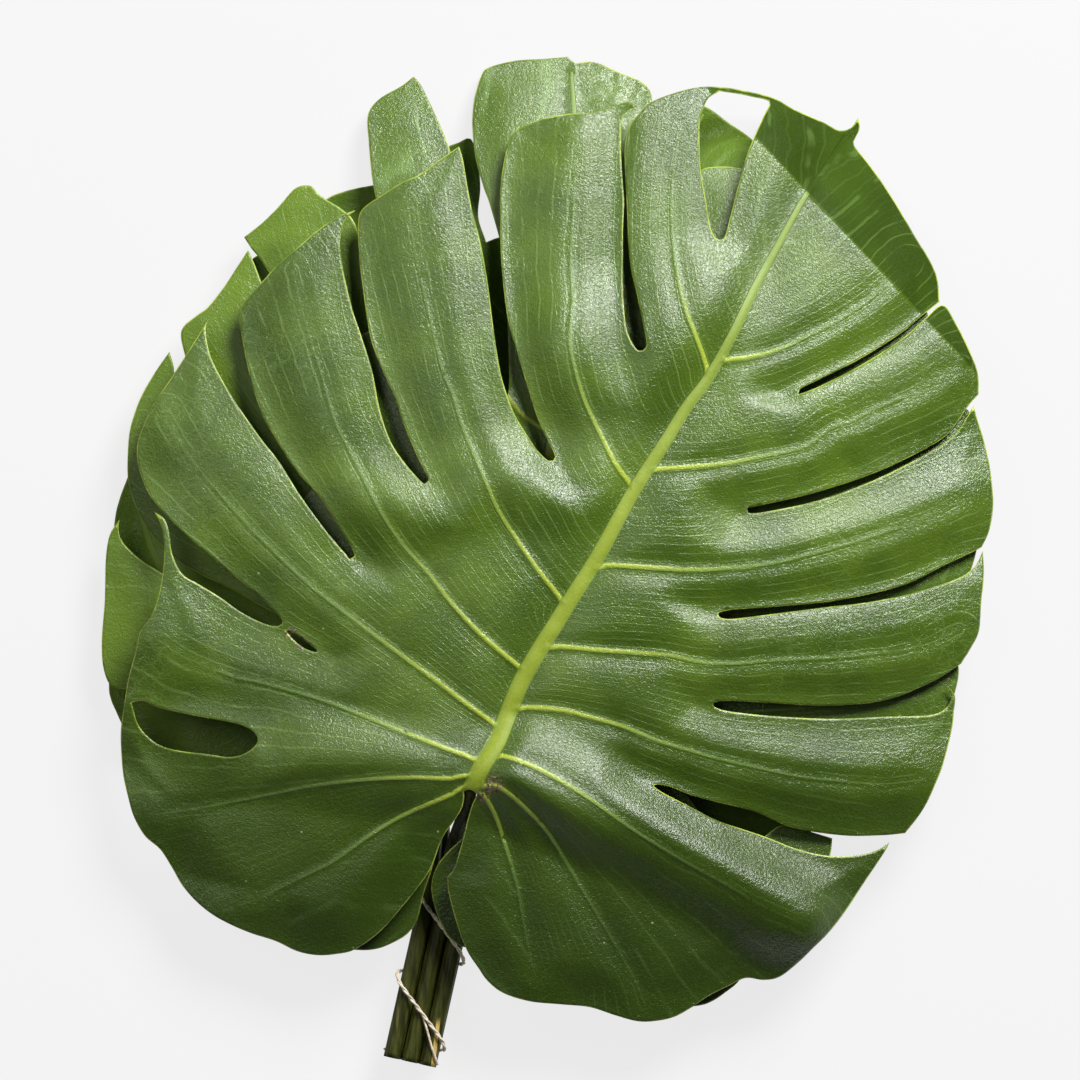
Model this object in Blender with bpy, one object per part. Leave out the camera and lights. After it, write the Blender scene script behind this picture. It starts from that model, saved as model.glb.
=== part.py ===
# A tied bunch of monstera leaves, lying face up.
#
# Every blade is a thin sheet over a drawn outline: a flat net of triangles is laid over the outline, its holes
# and its veins, and a height formula lifts it, the same net on both faces. The stalks run down into one bundle,
# and a thin band is wound round them.
#
# Outlines and veins are drawn on a square grid, x to the right and y down the page, with 1000 squares to the
# front blade's length. Heights are in millimetres above the surface that the bunch lies on.

import math

import bmesh
import bpy
import numpy as np
from mathutils import Vector
from mathutils.geometry import delaunay_2d_cdt

# Driving dimensions in metres
BLADE_LENGTH = 0.420
BLADE_THICKNESS = 0.0009
STALK_RADIUS = 0.0037
STALK_TOP_RADIUS = 0.0025
BAND_CLEARANCE = 0.0006
BAND_RADIUS = 0.00085

# The drawing grid
SQUARE = BLADE_LENGTH / 1000
PAGE_CENTRE = (547.0, 562.0)
MM = 0.001

# The stack of blades: a shallow dome, and the height of each leaf over its middle, in millimetres
DOME_CENTRE = (540.0, 560.0)
DOME_REACH = (455.0, 510.0)
DOME_FALL = 0.5
LEVELS = (54.0, 41.0, 32.0, 23.0, 14.0)

# Form of a blade in millimetres, with widths in squares
MIDRIB_VALLEY = 3.0
MIDRIB_VALLEY_WIDTH = 26.0
VEIN_VALLEY = (1.0, 2.2)
VEIN_VALLEY_WIDTH = 16.0
VEIN_VALLEY_CHANGE = 80.0
MARGIN_ROLL = 5.0
FIRST_VEIN_GAP = 60.0
ROLL_WIDTH = (20.0, 9.0)
FULL_ROLL_WIDTH = 60.0
LEAST_WIDTH = 0.1
ROLL_CHANGE = (0.35, 0.65)
MIDRIB_RISE = 1.3
MIDRIB_RISE_LOSS = 0.7
MIDRIB_HALF = 10.5
MIDRIB_NARROWING = 8.8
MIDRIB_KEEL = 2.4
KEEL_LOSS = 0.75
KEEL_WIDTH = 1.6
SIDE_VEIN_RISE = 0.8
SIDE_VEIN_RISE_LOSS = 0.8
SIDE_VEIN_HALF = 3.4
SIDE_VEIN_NARROWING = 2.2
TIP_FOLD_SLOPE = 0.50
FOLD_EASE = 5.0

# Fineness of the net in squares
FRONT_SPACING = 28.0
BACK_SPACING = 38.0
FRONT_STATION = 34.0
BACK_STATION = 60.0
LINE_STEP = 12.0
ROW_PITCH = 0.87
VEIN_TO_MARGIN = 3.0
VEIN_TO_VEIN = 2.2
FILLING_TO_VEIN = 0.55
FILLING_TO_MARGIN = 0.45
FAR = 1e9

LEAF_GREEN = (0.060, 0.150, 0.022)
BACK_GREEN = (0.080, 0.180, 0.020)
BAND_CREAM = (0.66, 0.58, 0.44)

# Front leaf. Each run of the margin is smooth, and a corner lies where two runs meet.
FRONT_LEFT_BASE = [
    (464, 791), (464, 800), (461, 810), (454, 821), (446, 832), (440, 844), (432, 866), (422, 882), (403, 906),
    (380, 932), (355, 950), (335, 955), (316, 956), (296, 952), (275, 942), (250, 934), (229, 925), (211, 915),
    (195, 902), (181, 886), (170, 867), (159, 850), (144, 837), (133, 818), (127, 798), (122, 775), (120, 750),
    (120, 729), (124, 701), (128, 678), (136, 649), (140, 632), (152, 614), (159, 593), (163, 568), (164, 545),
    (161, 526), (154, 512)]
FRONT_LOBE_4 = [
    (154, 512), (164, 519), (169, 533), (172, 554), (182, 574), (198, 584), (221, 598), (239, 611), (258, 621),
    (273, 626), (282, 624), (280, 617), (267, 603), (248, 587), (221, 565), (189, 538), (163, 512), (149, 495),
    (140, 475), (136, 455), (138, 438), (145, 420), (155, 400), (169, 380), (189, 349), (209, 317)]
FRONT_LOBE_3 = [
    (209, 317), (205, 328), (208, 349), (214, 365), (222, 380), (232, 397), (242, 412), (262, 440), (280, 463),
    (300, 495), (328, 533), (345, 553), (350, 559), (355, 556), (346, 538), (320, 497), (298, 473), (280, 446),
    (262, 414), (250, 378), (242, 340), (239, 318), (244, 303), (256, 288), (278, 264), (300, 245), (320, 228),
    (340, 215), (355, 210)]
FRONT_LOBE_2 = [
    (355, 210), (344, 221), (340, 243), (342, 265), (352, 308), (361, 335), (372, 370), (380, 410), (391, 442),
    (405, 463), (417, 477), (425, 484), (429, 480), (418, 458), (404, 425), (396, 400), (381, 367), (370, 335),
    (363, 290), (359, 255), (358, 220), (364, 207), (380, 196), (402, 182), (420, 174), (440, 159), (459, 146)]
FRONT_LOBE_1 = [
    (459, 146), (463, 160), (471, 205), (481, 245), (488, 285), (493, 325), (500, 370), (507, 395), (515, 415),
    (525, 432), (537, 450), (549, 461), (555, 457), (548, 441), (538, 420), (530, 395), (517, 352), (509, 325),
    (505, 300), (501, 260), (500, 220), (500, 190), (504, 160), (508, 146), (514, 131), (530, 123), (548, 117),
    (570, 113), (590, 112), (612, 106), (628, 101), (637, 106)]
FRONT_TIP = [
    (637, 106), (629, 109), (622, 120), (621, 145), (622, 170), (624, 200), (623, 230), (623, 260), (623, 290),
    (625, 320), (629, 337), (638, 351), (646, 347), (644, 330), (637, 296), (631, 270), (628, 240), (627, 210),
    (625, 170), (625, 145), (630, 125), (641, 111), (652, 101), (675, 92), (700, 86), (725, 86), (750, 90),
    (775, 96), (795, 107), (825, 120), (841, 128), (853, 125), (860, 115)]
FRONT_SHOULDER = [
    (860, 115), (862, 125), (857, 136), (856, 143), (868, 158), (884, 180), (900, 205), (918, 237), (930, 256),
    (939, 277), (941, 301)]
FRONT_RIGHT_1 = [
    (941, 301), (922, 316), (900, 334), (860, 359), (820, 379), (800, 389), (798, 394), (820, 386), (861, 365),
    (902, 339), (924, 320), (944, 304), (957, 322), (970, 348), (979, 372), (980, 394)]
FRONT_RIGHT_2 = [
    (980, 394), (974, 400), (967, 409), (959, 421), (944, 438), (910, 457), (875, 473), (818, 492), (763, 505),
    (747, 508), (748, 513), (770, 511), (820, 500), (870, 482), (910, 463), (942, 445), (958, 432), (966, 420),
    (975, 405)]
FRONT_RIGHT_2_MARGIN = [
    (975, 405), (979, 420), (984, 435), (990, 460), (994, 490), (994, 512), (990, 532), (983, 547)]
FRONT_RIGHT_3 = [
    (983, 547), (974, 552), (944, 566), (910, 583), (875, 593), (827, 602), (772, 607), (730, 610), (718, 614),
    (728, 619), (772, 614), (827, 607), (864, 603), (910, 594), (955, 580), (971, 571), (979, 562), (984, 551)]
FRONT_RIGHT_3_MARGIN = [
    (984, 551), (985, 575), (982, 605), (980, 631), (972, 648), (962, 664)]
FRONT_RIGHT_4 = [
    (962, 664), (939, 679), (918, 689), (895, 698), (865, 704), (819, 706), (770, 703), (722, 701), (713, 705),
    (727, 711), (772, 716), (829, 719), (886, 717), (928, 716), (944, 711), (951, 703), (952, 695), (948, 686)]
FRONT_RIGHT_4_MARGIN = [
    (948, 686), (956, 696), (955, 712), (953, 730), (944, 765), (937, 783), (928, 803), (918, 819), (906, 834)]
FRONT_RIGHT_5 = [
    (906, 834), (882, 836), (844, 836), (793, 828), (755, 812), (716, 802), (691, 795), (668, 786), (654, 785),
    (662, 792), (691, 807), (716, 820), (742, 829), (768, 838), (793, 848), (819, 855), (841, 857), (864, 855),
    (880, 850), (890, 843)]
FRONT_RIGHT_BASE = [
    (890, 843), (886, 852), (864, 885), (849, 908), (831, 931), (813, 949), (798, 964), (780, 978), (764, 981),
    (746, 979), (729, 987), (709, 997), (691, 1009), (674, 1018), (655, 1022), (637, 1022), (615, 1016),
    (590, 1008), (560, 1005), (530, 1002), (504, 994), (488, 982), (478, 968), (468, 953), (460, 934),
    (453, 911), (448, 890), (447, 877)]
FRONT_RIGHT_SINUS = [
    (447, 877), (454, 868), (459, 853), (464, 835), (468, 818), (473, 802), (477, 794), (470, 789), (464, 791)]

FRONT_MARGIN = [
    FRONT_LEFT_BASE, FRONT_LOBE_4, FRONT_LOBE_3, FRONT_LOBE_2, FRONT_LOBE_1, FRONT_TIP, FRONT_SHOULDER,
    FRONT_RIGHT_1, FRONT_RIGHT_2, FRONT_RIGHT_2_MARGIN, FRONT_RIGHT_3, FRONT_RIGHT_3_MARGIN, FRONT_RIGHT_4,
    FRONT_RIGHT_4_MARGIN, FRONT_RIGHT_5, FRONT_RIGHT_BASE, FRONT_RIGHT_SINUS]

# Holes of the front blade: one inside the big left lobe, a small torn slit, and one beside the tip
FRONT_HOLES = [
    [(131, 703), (143, 701), (158, 708), (195, 716), (218, 720), (241, 725), (254, 732), (258, 740), (253, 748),
     (241, 755), (227, 757), (206, 754), (179, 751), (160, 746), (147, 737), (137, 724)],
    [(285, 630), (297, 635), (308, 643), (318, 652), (306, 649), (295, 641)],
    [(720, 90), (709, 97), (704, 107), (700, 120), (700, 155), (702, 177), (706, 200), (710, 225), (716, 238),
     (724, 238), (730, 218), (738, 187), (746, 158), (755, 135), (765, 113), (770, 100), (752, 95), (736, 92)]]

FRONT_MIDRIB = [
    (471, 790), (484, 762), (498, 740), (523, 678), (564, 610), (599, 554), (633, 492), (665, 442), (688, 405),
    (707, 380), (731, 338), (757, 284), (781, 240), (803, 200), (830, 160), (853, 124)]
FRONT_SIDE_VEINS = [
    [(707, 368), (698, 342), (688, 316), (680, 288), (675, 255), (672, 220), (672, 190), (675, 160), (682, 125)],
    [(632, 488), (615, 463), (597, 427), (583, 396), (572, 355), (570, 335), (573, 300), (571, 260), (574, 200),
     (578, 135)],
    [(564, 604), (539, 571), (516, 538), (498, 509), (486, 481), (472, 449), (461, 421), (453, 394), (443, 370),
     (428, 310), (415, 250), (407, 200)],
    [(523, 670), (498, 649), (475, 628), (452, 603), (429, 573), (406, 548), (385, 518), (369, 488), (350, 450),
     (335, 420), (322, 375), (305, 320), (293, 270)],
    [(495, 724), (470, 706), (440, 683), (406, 658), (378, 637), (350, 616), (310, 585), (275, 552), (245, 522),
     (200, 470), (165, 420)],
    [(475, 759), (449, 749), (403, 731), (335, 704), (290, 690), (255, 681), (232, 676), (186, 658), (158, 640)],
    [(469, 775), (449, 778), (403, 777), (355, 780), (310, 786), (252, 798), (200, 808), (155, 815)],
    [(465, 786), (449, 795), (401, 816), (367, 837), (332, 862), (310, 873), (260, 898), (222, 912)],
    [(719, 361), (743, 358), (766, 353), (789, 345), (812, 333), (835, 322), (870, 299), (910, 262)],
    [(658, 469), (720, 464), (772, 454), (806, 446), (829, 429), (852, 421), (875, 409), (910, 394),
     (955, 370)],
    [(606, 565), (680, 569), (726, 568), (772, 563), (806, 555), (829, 549), (864, 539), (910, 523),
     (965, 500)],
    [(560, 646), (590, 649), (635, 652), (670, 655), (703, 662), (737, 663), (772, 660), (852, 656), (921, 646),
     (960, 630)],
    [(527, 707), (564, 710), (587, 716), (621, 725), (655, 739), (690, 750), (722, 759), (793, 775),
     (831, 780), (882, 784), (925, 780)],
    [(502, 755), (541, 769), (587, 796), (632, 828), (678, 857), (724, 883), (762, 905), (805, 925)],
    [(496, 785), (529, 811), (550, 835), (564, 858), (587, 897), (610, 936), (635, 980), (645, 1005)],
    [(483, 794), (495, 814), (504, 840), (518, 888), (524, 925), (535, 975)]]

# How far the blade falls to its margins on the side vein's lower and upper side, in millimetres
FRONT_ROLLS = [
    (1.0, 2.0), (6.5, 4.5), (4.5, 2.5), (5.0, 2.5), (4.5, 2.5), (4.0, 4.0), (4.0, 4.0), (4.0, 3.0),
    (5.5, 4.5), (5.5, 1.0), (5.5, 5.0), (5.5, 2.0), (5.5, 5.0), (3.0, 5.0), (3.0, 3.0), (3.0, 3.0)]

# Crests of the front blade: a line, how far the crest reaches and its rise in millimetres
FRONT_CRESTS = [
    ([(515, 775), (562, 795), (632, 824), (704, 862), (771, 903), (800, 920)], 66.0, 11.0),
    ([(560, 345), (650, 345), (700, 310)], 90.0, 5.0),
    ([(345, 500), (420, 505), (500, 480), (570, 490)], 60.0, 4.0),
    ([(200, 745), (280, 755), (380, 765), (450, 775)], 60.0, 6.0),
    ([(150, 540), (150, 600), (125, 690)], 80.0, 6.0)]

# Line across the front blade's tip, beyond which the blade folds back
TIP_FOLD = [(754, 138), (800, 187), (840, 228), (880, 270), (920, 315), (980, 379)]

# Second leaf, close behind the front one, tip up the page
SECOND_MARGIN = [
    [(489, 770), (474, 783), (463, 795), (457, 808), (447, 828), (437, 850), (431, 872), (424, 893), (417, 920), (408, 934),
     (394, 943), (376, 950), (355, 951), (325, 946), (290, 925), (262, 892), (248, 850), (250, 815), (266, 786)],
    [(266, 786), (300, 783), (350, 774), (402, 755), (409, 748), (398, 744), (350, 752), (300, 757), (273, 752),
     (266, 715), (272, 680), (290, 652)],
    [(290, 652), (330, 654), (390, 657), (422, 651), (428, 642), (418, 637), (380, 632), (335, 618), (298, 592),
     (286, 560), (291, 520), (312, 488)],
    [(312, 488), (340, 510), (385, 540), (424, 560), (434, 558), (430, 548), (400, 510), (378, 465), (365, 410),
     (361, 360), (361, 337), (370, 331), (395, 324), (416, 331)],
    [(416, 331), (436, 368), (458, 405), (478, 433), (488, 434), (486, 422), (462, 385), (436, 342),
     (408, 295), (392, 255), (380, 215), (372, 180), (368, 140), (367, 113), (378, 97), (400, 84), (413, 74)],
    [(413, 74), (420, 82), (428, 98), (436, 115), (444, 133), (450, 150), (459, 185), (468, 225), (478, 280),
     (488, 340), (497, 385), (503, 398), (509, 388), (508, 340), (506, 290), (502, 250), (490, 205),
     (483, 185), (475, 155), (472, 125), (473, 103), (476, 88), (481, 73), (488, 65), (515, 58), (545, 56),
     (568, 54)],
    [(568, 54), (575, 60), (590, 59), (603, 62), (620, 70), (640, 78), (650, 87), (654, 105), (658, 150),
     (661, 200), (663, 260), (664, 305), (668, 318), (675, 308), (684, 262), (693, 215), (698, 183),
     (703, 168), (722, 165), (742, 167), (765, 174), (787, 192), (805, 220), (813, 260)],
    [(813, 260), (780, 292), (730, 332), (694, 365), (690, 374), (700, 374), (745, 354), (795, 332),
     (838, 316), (880, 305), (921, 303), (935, 335), (940, 380)],
    [(940, 380), (922, 408), (891, 428), (840, 446), (780, 463), (720, 477), (677, 486), (671, 492), (680, 496),
     (740, 493), (800, 484), (860, 470), (905, 452), (946, 418), (969, 409), (978, 445), (983, 490), (980, 540),
     (968, 580), (945, 608), (920, 622)],
    [(920, 622), (860, 636), (790, 645), (710, 650), (662, 655), (656, 662), (668, 667), (730, 666), (800, 661),
     (870, 652), (930, 636), (951, 650), (960, 668), (957, 690), (951, 704), (938, 720)],
    [(938, 720), (890, 740), (830, 749), (760, 751), (700, 745), (662, 739), (652, 746), (662, 762), (690, 800),
     (720, 838), (745, 850), (765, 837), (782, 826), (806, 831), (833, 839)],
    [(833, 839), (831, 856), (821, 885), (805, 907), (760, 898), (700, 880), (652, 862), (644, 868),
     (656, 880), (700, 902), (750, 922), (783, 934), (768, 953), (750, 968), (738, 984), (727, 993),
     (714, 1002), (700, 1007), (675, 1008), (640, 1002), (600, 994), (560, 986), (525, 973), (497, 958),
     (475, 951), (460, 947)],
    [(460, 947), (447, 936), (436, 913), (431, 888), (436, 868), (448, 852), (464, 836), (476, 814),
     (486, 794), (494, 778), (489, 770)]]
SECOND_MIDRIB = [(496, 776), (512, 700), (530, 600), (548, 480), (562, 360), (572, 260), (577, 160), (572, 70)]
SECOND_SIDE_VEINS = [
    [(500, 762), (450, 800), (380, 870), (330, 915)],
    [(505, 735), (430, 735), (360, 722), (290, 715)],
    [(518, 665), (450, 610), (370, 580), (310, 550)],
    [(537, 555), (480, 500), (420, 430), (385, 350)],
    [(553, 435), (510, 400), (455, 290), (420, 190), (402, 105)],
    [(562, 355), (610, 320), (680, 380), (640, 330)],
    [(567, 300), (640, 345), (715, 290), (780, 215)],
    [(557, 400), (630, 420), (760, 410), (870, 385)],
    [(545, 500), (640, 550), (780, 560), (920, 550)],
    [(530, 600), (640, 700), (780, 710), (930, 685)],
    [(510, 710), (600, 780), (700, 860), (810, 870)],
    [(500, 762), (560, 850), (640, 930), (730, 975)]]

# Third leaf, whose lobes show along the upper left and the left
THIRD_MARGIN = [
    [(447, 744), (420, 780), (388, 820), (345, 868), (295, 898), (243, 900), (216, 870), (230, 830), (280, 790),
     (340, 760), (390, 746), (400, 738), (388, 731), (330, 724), (270, 715), (230, 708), (190, 703), (150, 697),
     (124, 690)],
    [(124, 690), (113, 688), (106, 682), (101, 665), (100, 640), (103, 600), (104, 560), (108, 535), (118, 519)],
    [(118, 519), (117, 530), (121, 542), (138, 559), (163, 575), (200, 598), (250, 629), (300, 652),
     (345, 668), (354, 663), (346, 652), (310, 632), (260, 606), (232, 590), (195, 572), (165, 550),
     (142, 522), (130, 495), (126, 475), (127, 440), (131, 419), (140, 395), (154, 371), (168, 351)],
    [(168, 351), (172, 364), (174, 377), (182, 403), (205, 443), (242, 488), (280, 528), (294, 540), (299, 534),
     (288, 520), (246, 470), (210, 420), (192, 382), (184, 356), (180, 330), (195, 315), (207, 306), (225, 283),
     (234, 269), (247, 249)],
    [(247, 249), (253, 262), (264, 290), (285, 332), (306, 372), (314, 380), (318, 372), (302, 335),
     (280, 292), (262, 262), (250, 247), (243, 236)],
    [(243, 236), (262, 221), (278, 205), (293, 188), (303, 184), (311, 185), (317, 192), (325, 198), (341, 208),
     (354, 222), (363, 255), (372, 300), (384, 345), (390, 355), (395, 350), (399, 340), (418, 338),
     (442, 356), (462, 400), (472, 447), (468, 480), (450, 495), (446, 502), (456, 506), (490, 498),
     (520, 520), (538, 570), (538, 630), (524, 690), (500, 724), (470, 737), (455, 738), (447, 744)]]
THIRD_MIDRIB = [(456, 742), (425, 660), (385, 560), (345, 460), (305, 365), (272, 290), (246, 241)]
THIRD_SIDE_VEINS = [
    [(450, 725), (400, 765), (330, 820), (270, 870)],
    [(440, 700), (360, 690), (250, 670), (140, 640)],
    [(420, 648), (330, 590), (230, 520), (150, 440)],
    [(388, 566), (320, 490), (250, 400), (205, 325)],
    [(345, 460), (350, 380), (335, 290), (310, 210)],
    [(380, 548), (410, 470), (425, 400), (425, 355)],
    [(420, 648), (470, 600), (500, 560), (505, 520)]]

# Fourth leaf, deep in the bunch, whose lobes show at the top
FOURTH_MARGIN = [
    [(520, 728), (500, 716), (470, 700), (440, 672), (424, 635), (428, 602), (452, 592), (492, 580), (499, 572),
     (492, 565), (458, 560), (420, 550), (398, 520), (390, 478), (404, 466), (440, 474), (500, 482),
     (520, 477), (524, 468), (514, 460), (478, 440), (440, 404), (398, 376), (350, 356), (300, 335), (262, 308),
     (246, 284), (247, 264), (260, 254), (288, 268), (322, 296), (342, 300), (341, 270), (333, 245),
     (322, 215), (325, 197), (347, 188), (371, 183), (388, 180), (400, 188), (404, 215),
     (410, 260), (425, 320), (446, 362), (454, 368), (455, 358), (442, 320), (434, 280), (432, 230),
     (436, 190), (442, 160), (449, 143)],
    [(449, 143), (458, 140), (470, 136), (477, 155), (480, 185), (478, 215), (486, 241)],
    [(486, 241), (500, 236), (525, 234), (550, 246), (575, 262), (602, 238), (628, 180), (656, 122), (688, 103),
     (707, 104), (730, 120), (753, 137), (775, 165), (789, 205), (784, 240), (760, 272), (700, 322),
     (672, 350), (671, 360), (682, 360), (730, 332), (790, 292), (830, 268), (858, 266), (884, 303),
     (900, 350), (903, 400), (886, 432), (800, 452), (730, 472), (682, 484), (675, 491), (684, 497),
     (740, 493), (830, 478), (893, 468), (917, 505), (930, 560), (924, 610), (900, 638), (820, 650),
     (740, 654), (682, 655), (674, 662), (684, 668), (750, 675), (830, 673), (893, 670), (906, 702),
     (895, 750), (870, 790), (838, 812), (790, 850), (740, 878), (690, 880), (640, 862), (600, 832),
     (566, 796), (540, 762), (520, 728)]]
FOURTH_MIDRIB = [(524, 734), (530, 640), (552, 520), (588, 400), (626, 290), (666, 190), (704, 112)]
FOURTH_SIDE_VEINS = [
    [(527, 690), (490, 660), (460, 640), (440, 630)],
    [(540, 580), (500, 530), (450, 515), (410, 500)],
    [(570, 455), (500, 400), (420, 330), (360, 220)],
    [(590, 395), (530, 340), (480, 280), (455, 170)],
    [(610, 335), (680, 290), (720, 240), (750, 180)],
    [(575, 440), (680, 410), (790, 370), (870, 330)],
    [(550, 530), (660, 580), (790, 580), (905, 560)],
    [(530, 660), (640, 740), (760, 780), (870, 750)]]

# Fifth leaf, the lowest, which shows at the far left
FIFTH_MARGIN = [
    [(436, 742), (428, 775), (412, 812), (386, 856), (346, 892), (300, 902), (268, 885), (262, 855), (300, 820),
     (345, 790), (352, 782), (342, 778), (300, 795), (250, 830), (212, 850), (178, 822), (150, 790),
     (134, 760), (121, 730), (113, 712), (108, 700), (106, 683), (108, 620), (109, 560), (112, 520),
     (117, 498), (126, 474)],
    [(126, 474), (135, 490), (150, 512), (172, 530), (205, 541), (240, 548), (290, 570), (338, 602),
     (372, 630), (380, 628), (378, 618), (352, 590), (330, 560), (338, 535), (372, 535), (410, 560),
     (450, 600), (476, 650), (480, 700), (468, 728), (452, 734), (436, 742)]]
FIFTH_MIDRIB = [(444, 738), (385, 702), (300, 672), (220, 632), (160, 570), (130, 490)]
FIFTH_SIDE_VEINS = [
    [(425, 728), (390, 790), (350, 850), (310, 880)],
    [(360, 693), (300, 740), (240, 790), (200, 820)],
    [(270, 660), (210, 680), (160, 700), (118, 700)],
    [(400, 712), (420, 660), (410, 610), (380, 560)]]

# Stalks: x and y on the grid with the height of the stalk's centre in millimetres, from the cut end up
STALK_LOW = 6.1
STALK_HIGH = 12.8
STALK_PITCH = 7.7
BUNDLE_FOOT = (409.0, 1064.0)
BUNDLE_HEAD = (440.0, 925.0)
STALK_STEP = 22.0
STALK_SIDES = 10
JOINT_DEPTH = 1.2

# The band: its turns round the bundle with the grid's y at each, and its slant across the page
BAND_TURNS = [(0.0, 893.0), (0.44, 958.0), (1.0, 981.0), (1.44, 1045.0), (1.93, 1058.0)]
BAND_SLANT = 0.22
BAND_STATIONS = 66
BAND_SIDES = 6

# Droops of the back blades: a line, how far the droop reaches and its fall in millimetres
SECOND_DROOPS = [([(400, 60), (560, 40), (690, 80)], 230.0, 13.0)]
FOURTH_DROOPS = [
    ([(330, 170), (470, 130), (700, 80)], 120.0, 19.0),
    ([(930, 330), (950, 560), (930, 760)], 140.0, 22.0)]
FIFTH_DROOPS = [([(90, 450), (90, 720), (140, 850)], 95.0, 14.0)]


def page(x, y):
    """Metres from a grid point."""
    return ((x - PAGE_CENTRE[0]) * SQUARE, (PAGE_CENTRE[1] - y) * SQUARE)


def smooth_line(points, step):
    """Points about every step along a smooth curve through the given ones."""
    points = [np.array(point, float) for point in points]
    ends = [2 * points[0] - points[1]] + points + [2 * points[-1] - points[-2]]
    line = []
    for before, start, finish, after in zip(ends, ends[1:], ends[2:], ends[3:]):
        count = max(1, round(np.linalg.norm(finish[:2] - start[:2]) / step))
        for index in range(count):
            t = index / count
            line.append(0.5 * (2 * start + (finish - before) * t
                               + (2 * before - 5 * start + 4 * finish - after) * t * t
                               + (3 * start - before - 3 * finish + after) * t ** 3))
    line.append(points[-1])
    return np.array(line)


def margin_loop(runs):
    """One closed outline from its runs."""
    return np.array([point for run in runs for point in run[:-1]], float)


def line_distance(points, line):
    """Distance of each point to a polyline, how far along it the nearest place is, 0 to 1, and its side."""
    best = np.full(len(points), FAR)
    place = np.zeros(len(points))
    side = np.zeros(len(points))
    lengths = np.linalg.norm(np.diff(line, axis=0), axis=1)
    total = lengths.sum()
    passed = 0.0
    for start, finish, length in zip(line, line[1:], lengths):
        reach = finish - start
        away = points - start
        along = np.clip(away @ reach / length ** 2, 0, 1)
        gap = np.linalg.norm(away - along[:, None] * reach, axis=1)
        nearer = gap < best
        best[nearer] = gap[nearer]
        place[nearer] = (passed + along[nearer] * length) / total
        side[nearer] = np.sign(away[nearer, 0] * reach[1] - away[nearer, 1] * reach[0])
        passed += length
    return best, place, side


def inside(points, loops):
    """Whether each point is inside the outline and outside its holes."""
    odd = np.zeros(len(points), bool)
    for loop in loops:
        for start, finish in zip(loop, np.roll(loop, -1, axis=0)):
            crosses = (start[1] > points[:, 1]) != (finish[1] > points[:, 1])
            rise = finish[1] - start[1] if finish[1] != start[1] else 1.0
            at = start[0] + (points[:, 1] - start[1]) / rise * (finish[0] - start[0])
            odd ^= crosses & (points[:, 0] < at)
    return odd


def smooth_step(value):
    value = np.clip(value, 0, 1)
    return value * value * (3 - 2 * value)


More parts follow.
